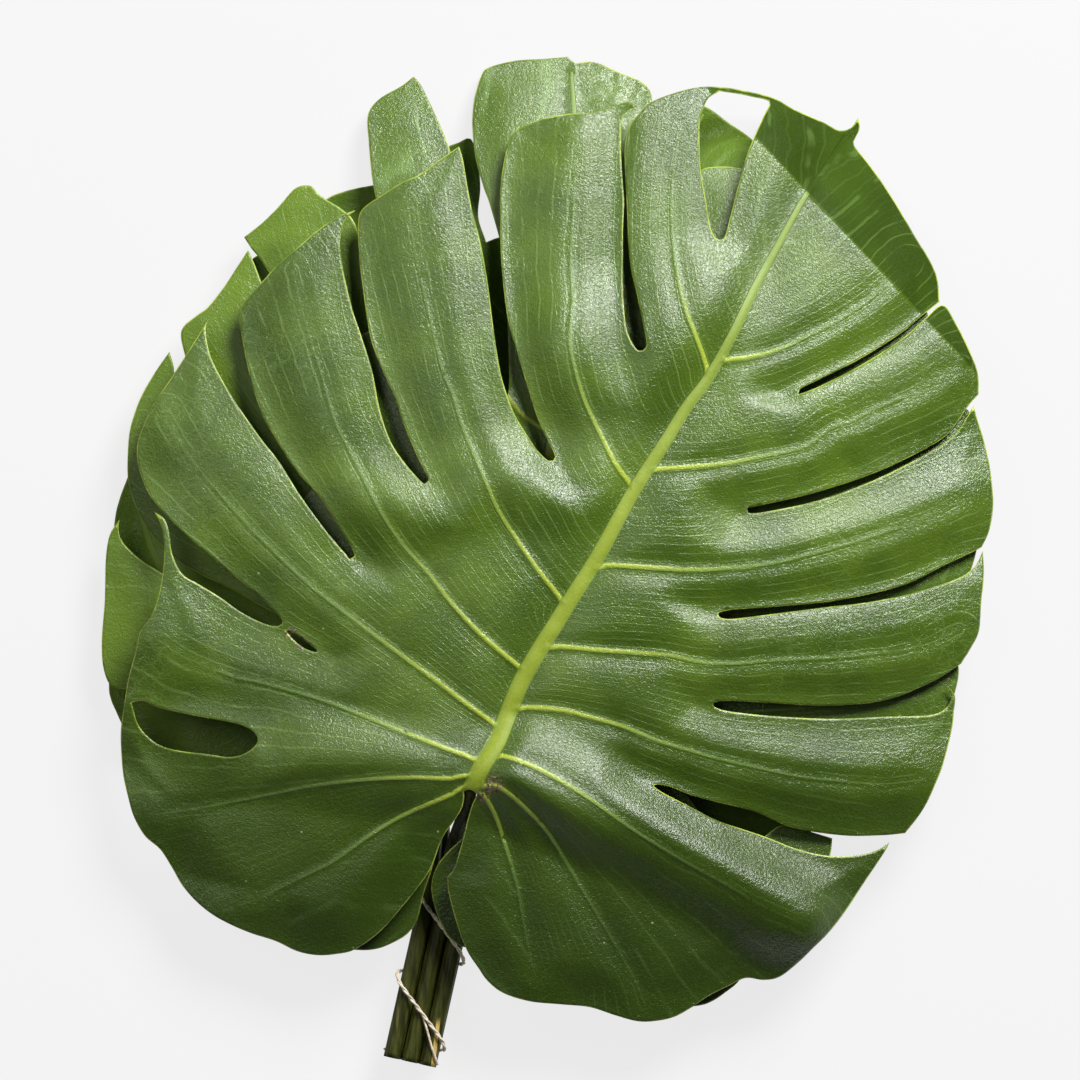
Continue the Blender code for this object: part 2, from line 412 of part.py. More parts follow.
class Leaf:
    """A blade's drawing and the heights of its two faces."""

    def __init__(self, name, runs, holes, midrib, side_veins, level, spacing, station, form, droops=(),
                 rolls=(), folded=False):
        self.name = name
        self.folded = folded
        self.loops = [margin_loop(runs)] + [np.array(hole, float) for hole in holes]
        self.midrib = smooth_line(midrib, LINE_STEP)
        side_veins = [[self.root(vein[0])] + vein for vein in side_veins]
        self.side_veins = [smooth_line(vein, LINE_STEP) for vein in side_veins]
        self.rows = [smooth_line(vein, station) for vein in [midrib] + side_veins]
        self.level = level
        self.spacing = spacing
        self.station = station
        self.form = form
        self.droops = droops
        self.rolls = rolls or [(MARGIN_ROLL * form, MARGIN_ROLL * form)] * len(side_veins)

    def root(self, start):
        """Where a side vein leaves the midrib: a little below the midrib's point nearest to its start."""
        gaps = np.linalg.norm(self.midrib - np.array(start, float), axis=1)
        return tuple(self.midrib[max(int(gaps.argmin()) - 1, 0)])

    def midrib_width(self, place):
        return MIDRIB_HALF - MIDRIB_NARROWING * place ** 1.5

    def side_vein_width(self, place):
        return SIDE_VEIN_HALF - SIDE_VEIN_NARROWING * place

    def edge_distance(self, points):
        gaps = [line_distance(points, np.vstack([loop, loop[:1]]))[0] for loop in self.loops]
        return np.min(gaps, axis=0)

    def margin_fall(self, points, rib_side):
        """How far the blade falls to the margin beside each point, eased from one side vein to the next."""
        fall = np.zeros(len(points))
        for half in (-1, 1):
            veins = []
            for vein, roll in zip(self.side_veins, self.rolls):
                middle = vein[len(vein) // 2:][:1]
                if line_distance(middle, self.midrib)[2][0] == half:
                    gap, _, side = line_distance(points, vein)
                    veins.append((line_distance(vein[:1], self.midrib)[1][0], gap, side, roll))
            veins.sort(key=lambda vein: vein[0])
            rolls = [roll for _, _, _, roll in veins]
            beyond = np.full(len(points), FIRST_VEIN_GAP)
            gaps = np.array([beyond] + [gap for _, gap, _, _ in veins] + [beyond])
            passed = sum((side * half < 0).astype(int) for _, _, side, _ in veins)
            below = np.take_along_axis(gaps, passed[None], 0)[0]
            above = np.take_along_axis(gaps, passed[None] + 1, 0)[0]
            share = below / np.maximum(below + above, 1 / FAR)
            share = smooth_step((share - ROLL_CHANGE[0]) / (ROLL_CHANGE[1] - ROLL_CHANGE[0]))
            lower = np.array([roll[0] for roll in rolls] + [rolls[-1][1]])[passed]
            upper = np.array([rolls[0][0]] + [roll[1] for roll in rolls])[passed]
            here = rib_side == half
            fall[here] = (upper + share * (lower - upper))[here]
        return fall

    def heights(self, points):
        """Heights of the upper and the under face in millimetres."""
        away = (points - DOME_CENTRE) / DOME_REACH
        middle = self.level * (1 - DOME_FALL * (away ** 2).sum(axis=1))
        rib_gap, rib_place, rib_side = line_distance(points, self.midrib)
        rib_width = self.midrib_width(rib_place)
        ridge = MIDRIB_RISE * (1 - MIDRIB_RISE_LOSS * rib_place) * smooth_step(1 - rib_gap / rib_width)
        vein_gap = np.full(len(points), FAR)
        vein_place = np.zeros(len(points))
        for vein in self.side_veins:
            gap, place, _ = line_distance(points, vein)
            nearer = gap < vein_gap
            vein_gap[nearer] = gap[nearer]
            vein_place[nearer] = place[nearer]
        side_ridge = (SIDE_VEIN_RISE * (1 - SIDE_VEIN_RISE_LOSS * vein_place)
                      * smooth_step(1 - vein_gap / self.side_vein_width(vein_place)))
        right = smooth_step(0.5 - rib_side * rib_gap / VEIN_VALLEY_CHANGE)
        depth = (VEIN_VALLEY[0] + right * (VEIN_VALLEY[1] - VEIN_VALLEY[0])) * (1 - 0.5 * vein_place)
        valley = depth * np.exp(-(vein_gap / VEIN_VALLEY_WIDTH) ** 2)
        valley = np.hypot(valley, MIDRIB_VALLEY * np.exp(-(rib_gap / MIDRIB_VALLEY_WIDTH) ** 2))
        edge = self.edge_distance(points)
        width = edge + vein_gap
        fall = self.margin_fall(points, rib_side)
        reach = np.minimum(ROLL_WIDTH[0] + ROLL_WIDTH[1] * fall, np.maximum(width, LEAST_WIDTH))
        roll = fall * np.minimum(width / FULL_ROLL_WIDTH, 1) * smooth_step(1 - edge / reach)
        middle -= np.hypot(self.form * valley, roll)
        for line, reach, depth in self.droops:
            gap, _, _ = line_distance(points, np.array(line, float))
            middle -= depth * smooth_step(1 - gap / reach)
        if self.folded:
            middle -= TIP_FOLD_SLOPE * SQUARE / MM * beyond_fold(points)
        keel = MIDRIB_KEEL * (1 - KEEL_LOSS * rib_place) * smooth_step(1 - rib_gap / (KEEL_WIDTH * rib_width))
        thickness = BLADE_THICKNESS / MM
        under = np.maximum(middle - thickness - keel, 0.0)
        upper = np.maximum(middle, under + thickness) + np.maximum(ridge, side_ridge)
        return upper, under


def beyond_fold(points):
    """How far each point lies beyond the tip's fold line, in squares, eased over the first stretch."""
    start, finish = np.array(TIP_FOLD[0], float), np.array(TIP_FOLD[-1], float)
    along = (finish - start) / np.linalg.norm(finish - start)
    outward = np.array([along[1], -along[0]])
    gap = (points - start) @ outward
    return np.where(gap > FOLD_EASE, gap - FOLD_EASE / 2, np.where(gap > 0, gap ** 2 / (2 * FOLD_EASE), 0.0))


def vein_rows(leaf):
    """Three rows of points along each vein, its crest and its two feet, and one along each crest or droop."""
    rows = []
    for number, crest in enumerate(leaf.rows):
        width = leaf.midrib_width if number == 0 else leaf.side_vein_width
        tangent = np.gradient(crest, axis=0)
        tangent /= np.linalg.norm(tangent, axis=1)[:, None]
        across = np.column_stack([-tangent[:, 1], tangent[:, 0]])
        place = np.linspace(0, 1, len(crest))
        half = np.array([width(value) for value in place])[:, None]
        rows += [crest, crest + across * half, crest - across * half]
    return rows + [smooth_line(line, leaf.station) for line, _, _ in leaf.droops]


def net(leaf):
    """Flat triangles over a blade: its margin, its holes, its veins and an even filling."""
    points = []
    edges = []
    for loop in leaf.loops:
        first = len(points)
        points += list(loop)
        edges += [(first + i, first + (i + 1) % len(loop)) for i in range(len(loop))]
    placed = [np.array(points)]
    for row in vein_rows(leaf):
        kept = inside(row, leaf.loops) & (leaf.edge_distance(row) > VEIN_TO_MARGIN)
        row = row[kept]
        gaps = np.min(np.linalg.norm(row[:, None] - np.vstack(placed)[None], axis=2), axis=1)
        row = row[gaps > VEIN_TO_VEIN]
        if len(row) > 1:
            first = len(points)
            points += list(row)
            edges += [(first + i, first + i + 1) for i in range(len(row) - 1)]
            placed.append(row)
    lowest = leaf.loops[0].min(axis=0)
    highest = leaf.loops[0].max(axis=0)
    step = leaf.spacing
    pitch = step * ROW_PITCH
    filling = np.array([(x + (row % 2) * step / 2, lowest[1] + row * pitch)
                        for row in range(int((highest[1] - lowest[1]) / pitch) + 1)
                        for x in np.arange(lowest[0], highest[0], step)])
    filling = filling[inside(filling, leaf.loops)]
    gaps = np.min(np.linalg.norm(filling[:, None] - np.vstack(placed)[None], axis=2), axis=1)
    clear = (gaps > FILLING_TO_VEIN * step) & (leaf.edge_distance(filling) > FILLING_TO_MARGIN * step)
    points += list(filling[clear])
    flat, _, faces, *_ = delaunay_2d_cdt([Vector(point) for point in points], edges, [], 0, 1e-4)
    flat = np.array([tuple(point) for point in flat])
    faces = np.array([face for face in faces])
    middles = flat[faces].mean(axis=1)
    return flat, faces[inside(middles, leaf.loops)]


def solid_sheet(name, leaf):
    """A closed blade: the net at both faces' heights and a rim between them."""
    flat, faces = net(leaf)
    upper, under = leaf.heights(flat)
    mesh = bmesh.new()
    used = sorted(set(faces.ravel()))
    top = {i: mesh.verts.new((*page(*flat[i]), upper[i] * MM)) for i in used}
    low = {i: mesh.verts.new((*page(*flat[i]), under[i] * MM)) for i in used}
    borders = set()
    for a, b, c in faces:
        if np.cross(flat[b] - flat[a], flat[c] - flat[a]) > 0:
            b, c = c, b
        mesh.faces.new((top[a], top[b], top[c]))
        mesh.faces.new((low[c], low[b], low[a]))
        for start, finish in ((a, b), (b, c), (c, a)):
            if (finish, start) in borders:
                borders.remove((finish, start))
            else:
                borders.add((start, finish))
    for start, finish in sorted(borders):
        mesh.faces.new((top[finish], top[start], low[start], low[finish]))
    return new_object(name, mesh)


def new_object(name, mesh):
    data = bpy.data.meshes.new(name)
    mesh.to_mesh(data)
    mesh.free()
    piece = bpy.data.objects.new(name, data)
    bpy.context.scene.collection.objects.link(piece)
    return piece


def tube(name, line, radii, sides):
    """A round bar along a line of metre points, with flat ends."""
    mesh = bmesh.new()
    rings = []
    for index, centre in enumerate(line):
        tangent = Vector(line[min(index + 1, len(line) - 1)] - line[max(index - 1, 0)]).normalized()
        side = tangent.cross(Vector((0, 0, 1))).normalized()
        over = side.cross(tangent).normalized()
        ring = []
        for corner in range(sides):
            angle = 2 * math.pi * (corner + 0.5) / sides
            offset = (side * math.cos(angle) + over * math.sin(angle)) * radii[index]
            ring.append(mesh.verts.new(Vector(centre) + offset))
        rings.append(ring)
    for ring, following in zip(rings, rings[1:]):
        for corner in range(sides):
            beside = (corner + 1) % sides
            mesh.faces.new((ring[corner], ring[beside], following[beside], following[corner]))
    mesh.faces.new(list(reversed(rings[0])))
    mesh.faces.new(rings[-1])
    bmesh.ops.recalc_face_normals(mesh, faces=mesh.faces)
    return new_object(name, mesh)


def stalk(name, across, height, bends, top):
    """A stalk from its place in the bundle's foot, through the bundle's head and its bends, to its blade."""
    reach = np.array([BUNDLE_HEAD[0] - BUNDLE_FOOT[0], BUNDLE_HEAD[1] - BUNDLE_FOOT[1]])
    side = np.array([-reach[1], reach[0]]) / np.linalg.norm(reach) * across * MM / SQUARE
    foot = np.array(BUNDLE_FOOT) + side
    head = np.array(BUNDLE_HEAD) + side
    path = [(*foot, height), (*((foot + head) / 2), height), (*head, height)] + bends + [top]
    line = smooth_line(path, STALK_STEP)
    metres = np.array([(*page(x, y), z * MM) for x, y, z in line])
    share = np.clip(np.linspace(-0.6, 1.0, len(line)), 0, 1) ** 3
    radii = STALK_RADIUS + (STALK_TOP_RADIUS - STALK_RADIUS) * share
    return tube(name, metres, radii, STALK_SIDES)


def joined(blade, stem):
    """Fuse a stalk to its blade."""
    union = blade.modifiers.new("join", "BOOLEAN")
    union.operation = "UNION"
    union.solver = "EXACT"
    union.object = stem
    bpy.context.view_layer.update()
    shape = bpy.data.meshes.new_from_object(blade.evaluated_get(bpy.context.evaluated_depsgraph_get()))
    blade.modifiers.clear()
    blade.data = shape
    bpy.data.objects.remove(stem)
    return blade


def band_line():
    """The band's centre line: a winding that climbs the bundle from its foot to its head."""
    gap = (STALK_RADIUS + BAND_CLEARANCE + BAND_RADIUS) / MM
    centres = [(-STALK_PITCH, STALK_HIGH), (STALK_PITCH, STALK_HIGH), (STALK_PITCH / 2, STALK_LOW),
               (-STALK_PITCH / 2, STALK_LOW)]
    ring = []
    for index in range(360):
        angle = math.pi - 2 * math.pi * index / 360
        out = (math.cos(angle), math.sin(angle))
        far = max(centres, key=lambda centre: centre[0] * out[0] + centre[1] * out[1])
        ring.append((far[0] + gap * out[0], far[1] + gap * out[1]))
    ring = np.array(ring + ring[:1])
    lengths = np.concatenate([[0], np.cumsum(np.linalg.norm(np.diff(ring, axis=0), axis=1))])
    line = []
    for turn in np.linspace(BAND_TURNS[0][0], BAND_TURNS[-1][0], BAND_STATIONS):
        place = (turn % 1.0) * lengths[-1]
        across = np.interp(place, lengths, ring[:, 0])
        height = np.interp(place, lengths, ring[:, 1])
        y = np.interp(turn, [key[0] for key in BAND_TURNS], [key[1] for key in BAND_TURNS])
        share = (BUNDLE_FOOT[1] - y) / (BUNDLE_FOOT[1] - BUNDLE_HEAD[1])
        x = BUNDLE_FOOT[0] + share * (BUNDLE_HEAD[0] - BUNDLE_FOOT[0]) + across * MM / SQUARE
        line.append((*page(x, y + BAND_SLANT * across * MM / SQUARE), height * MM))
    return np.array(line)


def material(name, colour, roughness):
    finish = bpy.data.materials.new(name)
    finish.use_nodes = True
    shader = finish.node_tree.nodes["Principled BSDF"]
    shader.inputs["Base Color"].default_value = (*colour, 1)
    shader.inputs["Roughness"].default_value = roughness
    return finish


def main():
    for item in list(bpy.data.objects):
        bpy.data.objects.remove(item)
    leaves = [
        Leaf("leaf_1", FRONT_MARGIN, FRONT_HOLES, FRONT_MIDRIB, FRONT_SIDE_VEINS, LEVELS[0], FRONT_SPACING,
             FRONT_STATION, 1.0, [(line, reach, -rise) for line, reach, rise in FRONT_CRESTS], FRONT_ROLLS,
             folded=True),
        Leaf("leaf_2", SECOND_MARGIN, [], SECOND_MIDRIB, SECOND_SIDE_VEINS, LEVELS[1], BACK_SPACING,
             BACK_STATION, 0.4, SECOND_DROOPS),
        Leaf("leaf_3", THIRD_MARGIN, [], THIRD_MIDRIB, THIRD_SIDE_VEINS, LEVELS[2], BACK_SPACING,
             BACK_STATION, 0.3),
        Leaf("leaf_4", FOURTH_MARGIN, [], FOURTH_MIDRIB, FOURTH_SIDE_VEINS, LEVELS[3], BACK_SPACING,
             BACK_STATION, 0.3, FOURTH_DROOPS),
        Leaf("leaf_5", FIFTH_MARGIN, [], FIFTH_MIDRIB, FIFTH_SIDE_VEINS, LEVELS[4], BACK_SPACING,
             BACK_STATION, 0.2, FIFTH_DROOPS)]
    greens = [material("front blade green", LEAF_GREEN, 0.42), material("back blade green", BACK_GREEN, 0.45)]
    stalks = [
        (0.0, STALK_HIGH, [(445, 892, 14.0), (451, 858, 21.0), (458, 832, 26.0), (467, 808, 37.0)], (471, 789)),
        (STALK_PITCH, STALK_HIGH, [(467, 885, 14.5), (484, 830, 22.0)], (498, 762)),
        (-STALK_PITCH, STALK_HIGH, [(429, 880, 13.5), (438, 800, 21.0)], (450, 727)),
        (STALK_PITCH / 2, STALK_LOW, [(470, 860, 7.0), (500, 790, 12.0)], (524, 718)),
        (-STALK_PITCH / 2, STALK_LOW, [(440, 860, 6.0), (441, 800, 7.0)], (442, 728))]
    for leaf, (across, height, bends, joint) in zip(leaves, stalks):
        blade = solid_sheet(leaf.name, leaf)
        joint_height = leaf.heights(np.array([joint], float))[1][0]
        stem = stalk(leaf.name + " stalk", across, height, bends, (*joint, joint_height + JOINT_DEPTH))
        joined(blade, stem)
        blade.data.materials.clear()
        blade.data.materials.append(greens[0] if leaf.folded else greens[1])
    line = band_line()
    band = tube("tie", line, [BAND_RADIUS] * len(line), BAND_SIDES)
    band.data.materials.append(material("band cream", BAND_CREAM, 0.6))


main()
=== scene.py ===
# The looks of a tied bunch of monstera leaves, lying face up.
#
# Every leaf is a fine sheet over the same drawing as its node: the outline, the holes and the veins, on a
# grid with 1000 squares to the front blade's length, x to the right and y down the page. Each point of the
# sheet also carries where it lies among the veins and the margins, and the finishes are drawn from that.

import math

import bmesh
import bpy
import numpy as np
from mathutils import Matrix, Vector
from mathutils.geometry import delaunay_2d_cdt
from mathutils.kdtree import KDTree


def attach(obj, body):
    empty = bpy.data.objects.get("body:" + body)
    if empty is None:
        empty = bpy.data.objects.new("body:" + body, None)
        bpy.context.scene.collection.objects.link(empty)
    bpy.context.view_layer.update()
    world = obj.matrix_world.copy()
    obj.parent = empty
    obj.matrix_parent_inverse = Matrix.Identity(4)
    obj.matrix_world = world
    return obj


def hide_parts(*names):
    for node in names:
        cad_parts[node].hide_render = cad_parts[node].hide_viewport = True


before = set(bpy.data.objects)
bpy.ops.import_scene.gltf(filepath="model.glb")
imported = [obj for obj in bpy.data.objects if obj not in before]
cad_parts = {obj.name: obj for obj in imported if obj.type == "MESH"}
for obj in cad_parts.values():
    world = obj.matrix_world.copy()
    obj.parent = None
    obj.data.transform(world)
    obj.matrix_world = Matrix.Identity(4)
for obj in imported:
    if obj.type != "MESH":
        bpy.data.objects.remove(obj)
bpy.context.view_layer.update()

# The drawing grid, in metres, and the front blade's real length
BLADE_LENGTH = 0.420
SQUARE = BLADE_LENGTH / 1000
PAGE_CENTRE = (547.0, 562.0)
MM = 0.001

# Thicknesses in millimetres
BLADE_THICKNESS = 0.9
STALK_RADIUS = 3.7
STALK_TOP_RADIUS = 2.5
BAND_CLEARANCE = 0.6
BAND_RADIUS = 0.85
STRAND_RADIUS = 0.5

# The stack of blades: a shallow dome, and the height of each leaf over its middle, in millimetres
DOME_CENTRE = (540.0, 560.0)
DOME_REACH = (455.0, 510.0)
DOME_FALL = 0.5
LEVELS = (54.0, 41.0, 32.0, 23.0, 14.0)

# Form of a blade in millimetres, with widths in squares and losses as shares
MIDRIB_VALLEY = 3.0
MIDRIB_VALLEY_WIDTH = 26.0
VEIN_VALLEY = (1.0, 2.2)
VEIN_VALLEY_WIDTH = 16.0
VEIN_VALLEY_CHANGE = 80.0
VEIN_VALLEY_LOSS = 0.5
MARGIN_ROLL = 5.0
ROLL_WIDTH = (20.0, 9.0)
FULL_ROLL_WIDTH = 60.0
LEAST_WIDTH = 0.1
ROLL_CHANGE = (0.35, 0.65)
FIRST_VEIN_GAP = 60.0
MIDRIB_RISE = 1.3
MIDRIB_RISE_LOSS = 0.7
MIDRIB_HALF = 10.5
MIDRIB_NARROWING = 8.8
SIDE_VEIN_RISE = 0.8
SIDE_VEIN_RISE_LOSS = 0.8
SIDE_VEIN_HALF = 3.4
SIDE_VEIN_NARROWING = 2.2
MIDRIB_KEEL = 2.4
KEEL_LOSS = 0.75
KEEL_WIDTH = 1.6
TIP_FOLD_SLOPE = 0.50
FOLD_EASE = 5.0
PAST_FOLD = 0.3

# Fineness of the sheets in squares, and how near a row's points may lie to a margin and to other rows
FRONT_SPACING = 4.6
BACK_SPACING = 7.0
ROW_PITCH = 0.87
LINE_STEP = 12.0
VEIN_STEP = 5.0
VEIN_SHARES = (0.0, 0.55, -0.55, 1.0, -1.0)
MARGIN_STEP = 4.0
MARGIN_LIP = 2.4
FOLD_ROWS = [(0.0, 0.0), (2.0, -2.0), (4.0, -4.0)]
ROW_TO_MARGIN = 1.1
ROW_TO_ROW = 1.6
LIP_TO_MARGIN = 0.8
FILLING_TO_MARGIN = 0.5
FILLING_TO_ROW = 0.6
NEAR_MARGINS = 4
FAR = 1e9
TINY = 1e-9

# Front leaf. Each run of the margin is smooth, and a corner lies where two runs meet.
FRONT_LEFT_BASE = [
    (464, 791), (464, 800), (461, 810), (454, 821), (446, 832), (440, 844), (432, 866), (422, 882), (403, 906),
    (380, 932), (355, 950), (335, 955), (316, 956), (296, 952), (275, 942), (250, 934), (229, 925), (211, 915),
    (195, 902), (181, 886), (170, 867), (159, 850), (144, 837), (133, 818), (127, 798), (122, 775), (120, 750),
    (120, 729), (124, 701), (128, 678), (136, 649), (140, 632), (152, 614), (159, 593), (163, 568), (164, 545),
    (161, 526), (154, 512)]
FRONT_LOBE_4 = [
    (154, 512), (164, 519), (169, 533), (172, 554), (182, 574), (198, 584), (221, 598), (239, 611), (258, 621),
    (273, 626), (282, 624), (280, 617), (267, 603), (248, 587), (221, 565), (189, 538), (163, 512), (149, 495),
    (140, 475), (136, 455), (138, 438), (145, 420), (155, 400), (169, 380), (189, 349), (209, 317)]
FRONT_LOBE_3 = [
    (209, 317), (205, 328), (208, 349), (214, 365), (222, 380), (232, 397), (242, 412), (262, 440), (280, 463),
    (300, 495), (328, 533), (345, 553), (350, 559), (355, 556), (346, 538), (320, 497), (298, 473), (280, 446),
    (262, 414), (250, 378), (242, 340), (239, 318), (244, 303), (256, 288), (278, 264), (300, 245), (320, 228),
    (340, 215), (355, 210)]
FRONT_LOBE_2 = [
    (355, 210), (344, 221), (340, 243), (342, 265), (352, 308), (361, 335), (372, 370), (380, 410), (391, 442),
    (405, 463), (417, 477), (425, 484), (429, 480), (418, 458), (404, 425), (396, 400), (381, 367), (370, 335),
    (363, 290), (359, 255), (358, 220), (364, 207), (380, 196), (402, 182), (420, 174), (440, 159), (459, 146)]
FRONT_LOBE_1 = [
    (459, 146), (463, 160), (471, 205), (481, 245), (488, 285), (493, 325), (500, 370), (507, 395), (515, 415),
    (525, 432), (537, 450), (549, 461), (555, 457), (548, 441), (538, 420), (530, 395), (517, 352), (509, 325),
    (505, 300), (501, 260), (500, 220), (500, 190), (504, 160), (508, 146), (514, 131), (530, 123), (548, 117),
    (570, 113), (590, 112), (612, 106), (628, 101), (637, 106)]
FRONT_TIP = [
    (637, 106), (629, 109), (622, 120), (621, 145), (622, 170), (624, 200), (623, 230), (623, 260), (623, 290),
    (625, 320), (629, 337), (638, 351), (646, 347), (644, 330), (637, 296), (631, 270), (628, 240), (627, 210),
    (625, 170), (625, 145), (630, 125), (641, 111), (652, 101), (675, 92), (700, 86), (725, 86), (750, 90),
    (775, 96), (795, 107), (825, 120), (841, 128), (853, 125), (860, 115)]
FRONT_SHOULDER = [
    (860, 115), (862, 125), (857, 136), (856, 143), (868, 158), (884, 180), (900, 205), (918, 237), (930, 256),
    (939, 277), (941, 301)]
FRONT_RIGHT_1 = [
    (941, 301), (922, 316), (900, 334), (860, 359), (820, 379), (800, 389), (798, 394), (820, 386), (861, 365),
    (902, 339), (924, 320), (944, 304), (957, 322), (970, 348), (979, 372), (980, 394)]
FRONT_RIGHT_2 = [
    (980, 394), (974, 400), (967, 409), (959, 421), (944, 438), (910, 457), (875, 473), (818, 492), (763, 505),
    (747, 508), (748, 513), (770, 511), (820, 500), (870, 482), (910, 463), (942, 445), (958, 432), (966, 420),
    (975, 405)]
FRONT_RIGHT_2_MARGIN = [
    (975, 405), (979, 420), (984, 435), (990, 460), (994, 490), (994, 512), (990, 532), (983, 547)]
FRONT_RIGHT_3 = [
    (983, 547), (974, 552), (944, 566), (910, 583), (875, 593), (827, 602), (772, 607), (730, 610), (718, 614),
    (728, 619), (772, 614), (827, 607), (864, 603), (910, 594), (955, 580), (971, 571), (979, 562), (984, 551)]
FRONT_RIGHT_3_MARGIN = [
    (984, 551), (985, 575), (982, 605), (980, 631), (972, 648), (962, 664)]
FRONT_RIGHT_4 = [
    (962, 664), (939, 679), (918, 689), (895, 698), (865, 704), (819, 706), (770, 703), (722, 701), (713, 705),
    (727, 711), (772, 716), (829, 719), (886, 717), (928, 716), (944, 711), (951, 703), (952, 695), (948, 686)]
FRONT_RIGHT_4_MARGIN = [
    (948, 686), (956, 696), (955, 712), (953, 730), (944, 765), (937, 783), (928, 803), (918, 819), (906, 834)]
FRONT_RIGHT_5 = [
    (906, 834), (882, 836), (844, 836), (793, 828), (755, 812), (716, 802), (691, 795), (668, 786), (654, 785),
    (662, 792), (691, 807), (716, 820), (742, 829), (768, 838), (793, 848), (819, 855), (841, 857), (864, 855),
    (880, 850), (890, 843)]
FRONT_RIGHT_BASE = [
    (890, 843), (886, 852), (864, 885), (849, 908), (831, 931), (813, 949), (798, 964), (780, 978), (764, 981),
    (746, 979), (729, 987), (709, 997), (691, 1009), (674, 1018), (655, 1022), (637, 1022), (615, 1016),
    (590, 1008), (560, 1005), (530, 1002), (504, 994), (488, 982), (478, 968), (468, 953), (460, 934),
    (453, 911), (448, 890), (447, 877)]
FRONT_RIGHT_SINUS = [
    (447, 877), (454, 868), (459, 853), (464, 835), (468, 818), (473, 802), (477, 794), (470, 789), (464, 791)]

FRONT_MARGIN = [
    FRONT_LEFT_BASE, FRONT_LOBE_4, FRONT_LOBE_3, FRONT_LOBE_2, FRONT_LOBE_1, FRONT_TIP, FRONT_SHOULDER,
    FRONT_RIGHT_1, FRONT_RIGHT_2, FRONT_RIGHT_2_MARGIN, FRONT_RIGHT_3, FRONT_RIGHT_3_MARGIN, FRONT_RIGHT_4,
    FRONT_RIGHT_4_MARGIN, FRONT_RIGHT_5, FRONT_RIGHT_BASE, FRONT_RIGHT_SINUS]

# Holes of the front blade: one inside the big left lobe, a small torn slit, and one beside the tip
FRONT_HOLES = [
    [(131, 703), (143, 701), (158, 708), (195, 716), (218, 720), (241, 725), (254, 732), (258, 740), (253, 748),
     (241, 755), (227, 757), (206, 754), (179, 751), (160, 746), (147, 737), (137, 724)],
    [(285, 630), (297, 635), (308, 643), (318, 652), (306, 649), (295, 641)],
    [(720, 90), (709, 97), (704, 107), (700, 120), (700, 155), (702, 177), (706, 200), (710, 225), (716, 238),
     (724, 238), (730, 218), (738, 187), (746, 158), (755, 135), (765, 113), (770, 100), (752, 95), (736, 92)]]

FRONT_MIDRIB = [
    (471, 790), (484, 762), (498, 740), (523, 678), (564, 610), (599, 554), (633, 492), (665, 442), (688, 405),
    (707, 380), (731, 338), (757, 284), (781, 240), (803, 200), (830, 160), (853, 124)]
FRONT_SIDE_VEINS = [
    [(707, 368), (698, 342), (688, 316), (680, 288), (675, 255), (672, 220), (672, 190), (675, 160), (682, 125)],
    [(632, 488), (615, 463), (597, 427), (583, 396), (572, 355), (570, 335), (573, 300), (571, 260), (574, 200),
     (578, 135)],
    [(564, 604), (539, 571), (516, 538), (498, 509), (486, 481), (472, 449), (461, 421), (453, 394), (443, 370),
     (428, 310), (415, 250), (407, 200)],
    [(523, 670), (498, 649), (475, 628), (452, 603), (429, 573), (406, 548), (385, 518), (369, 488), (350, 450),
     (335, 420), (322, 375), (305, 320), (293, 270)],
    [(495, 724), (470, 706), (440, 683), (406, 658), (378, 637), (350, 616), (310, 585), (275, 552), (245, 522),
     (200, 470), (165, 420)],
    [(475, 759), (449, 749), (403, 731), (335, 704), (290, 690), (255, 681), (232, 676), (186, 658), (158, 640)],
    [(469, 775), (449, 778), (403, 777), (355, 780), (310, 786), (252, 798), (200, 808), (155, 815)],
    [(465, 786), (449, 795), (401, 816), (367, 837), (332, 862), (310, 873), (260, 898), (222, 912)],
    [(719, 361), (743, 358), (766, 353), (789, 345), (812, 333), (835, 322), (870, 299), (910, 262)],
    [(658, 469), (720, 464), (772, 454), (806, 446), (829, 429), (852, 421), (875, 409), (910, 394),
     (955, 370)],
    [(606, 565), (680, 569), (726, 568), (772, 563), (806, 555), (829, 549), (864, 539), (910, 523),
     (965, 500)],
    [(560, 646), (590, 649), (635, 652), (670, 655), (703, 662), (737, 663), (772, 660), (852, 656), (921, 646),
     (960, 630)],
    [(527, 707), (564, 710), (587, 716), (621, 725), (655, 739), (690, 750), (722, 759), (793, 775),
     (831, 780), (882, 784), (925, 780)],
    [(502, 755), (541, 769), (587, 796), (632, 828), (678, 857), (724, 883), (762, 905), (805, 925)],
    [(496, 785), (529, 811), (550, 835), (564, 858), (587, 897), (610, 936), (635, 980), (645, 1005)],
    [(483, 794), (495, 814), (504, 840), (518, 888), (524, 925), (535, 975)]]

# How far the blade falls to its margins on the side vein's lower and upper side, in millimetres
FRONT_ROLLS = [
    (1.0, 2.0), (6.5, 4.5), (4.5, 2.5), (5.0, 2.5), (4.5, 2.5), (4.0, 4.0), (4.0, 4.0), (4.0, 3.0),
    (5.5, 4.5), (5.5, 1.0), (5.5, 5.0), (5.5, 2.0), (5.5, 5.0), (3.0, 5.0), (3.0, 3.0), (3.0, 3.0)]

# Crests of the front blade: a line, how far the crest reaches and its rise in millimetres
FRONT_CRESTS = [
    ([(515, 775), (562, 795), (632, 824), (704, 862), (771, 903), (800, 920)], 66.0, 11.0),
    ([(560, 345), (650, 345), (700, 310)], 90.0, 5.0),
    ([(345, 500), (420, 505), (500, 480), (570, 490)], 60.0, 4.0),
    ([(200, 745), (280, 755), (380, 765), (450, 775)], 60.0, 6.0),
    ([(150, 540), (150, 600), (125, 690)], 80.0, 6.0)]

# Healed scars of the front blade: a place on the page and how far the brown reaches in metres
FRONT_SCARS = [((495, 783), 0.0048), ((484, 795), 0.0042), ((292, 634), 0.0035), ((303, 643), 0.0042)]

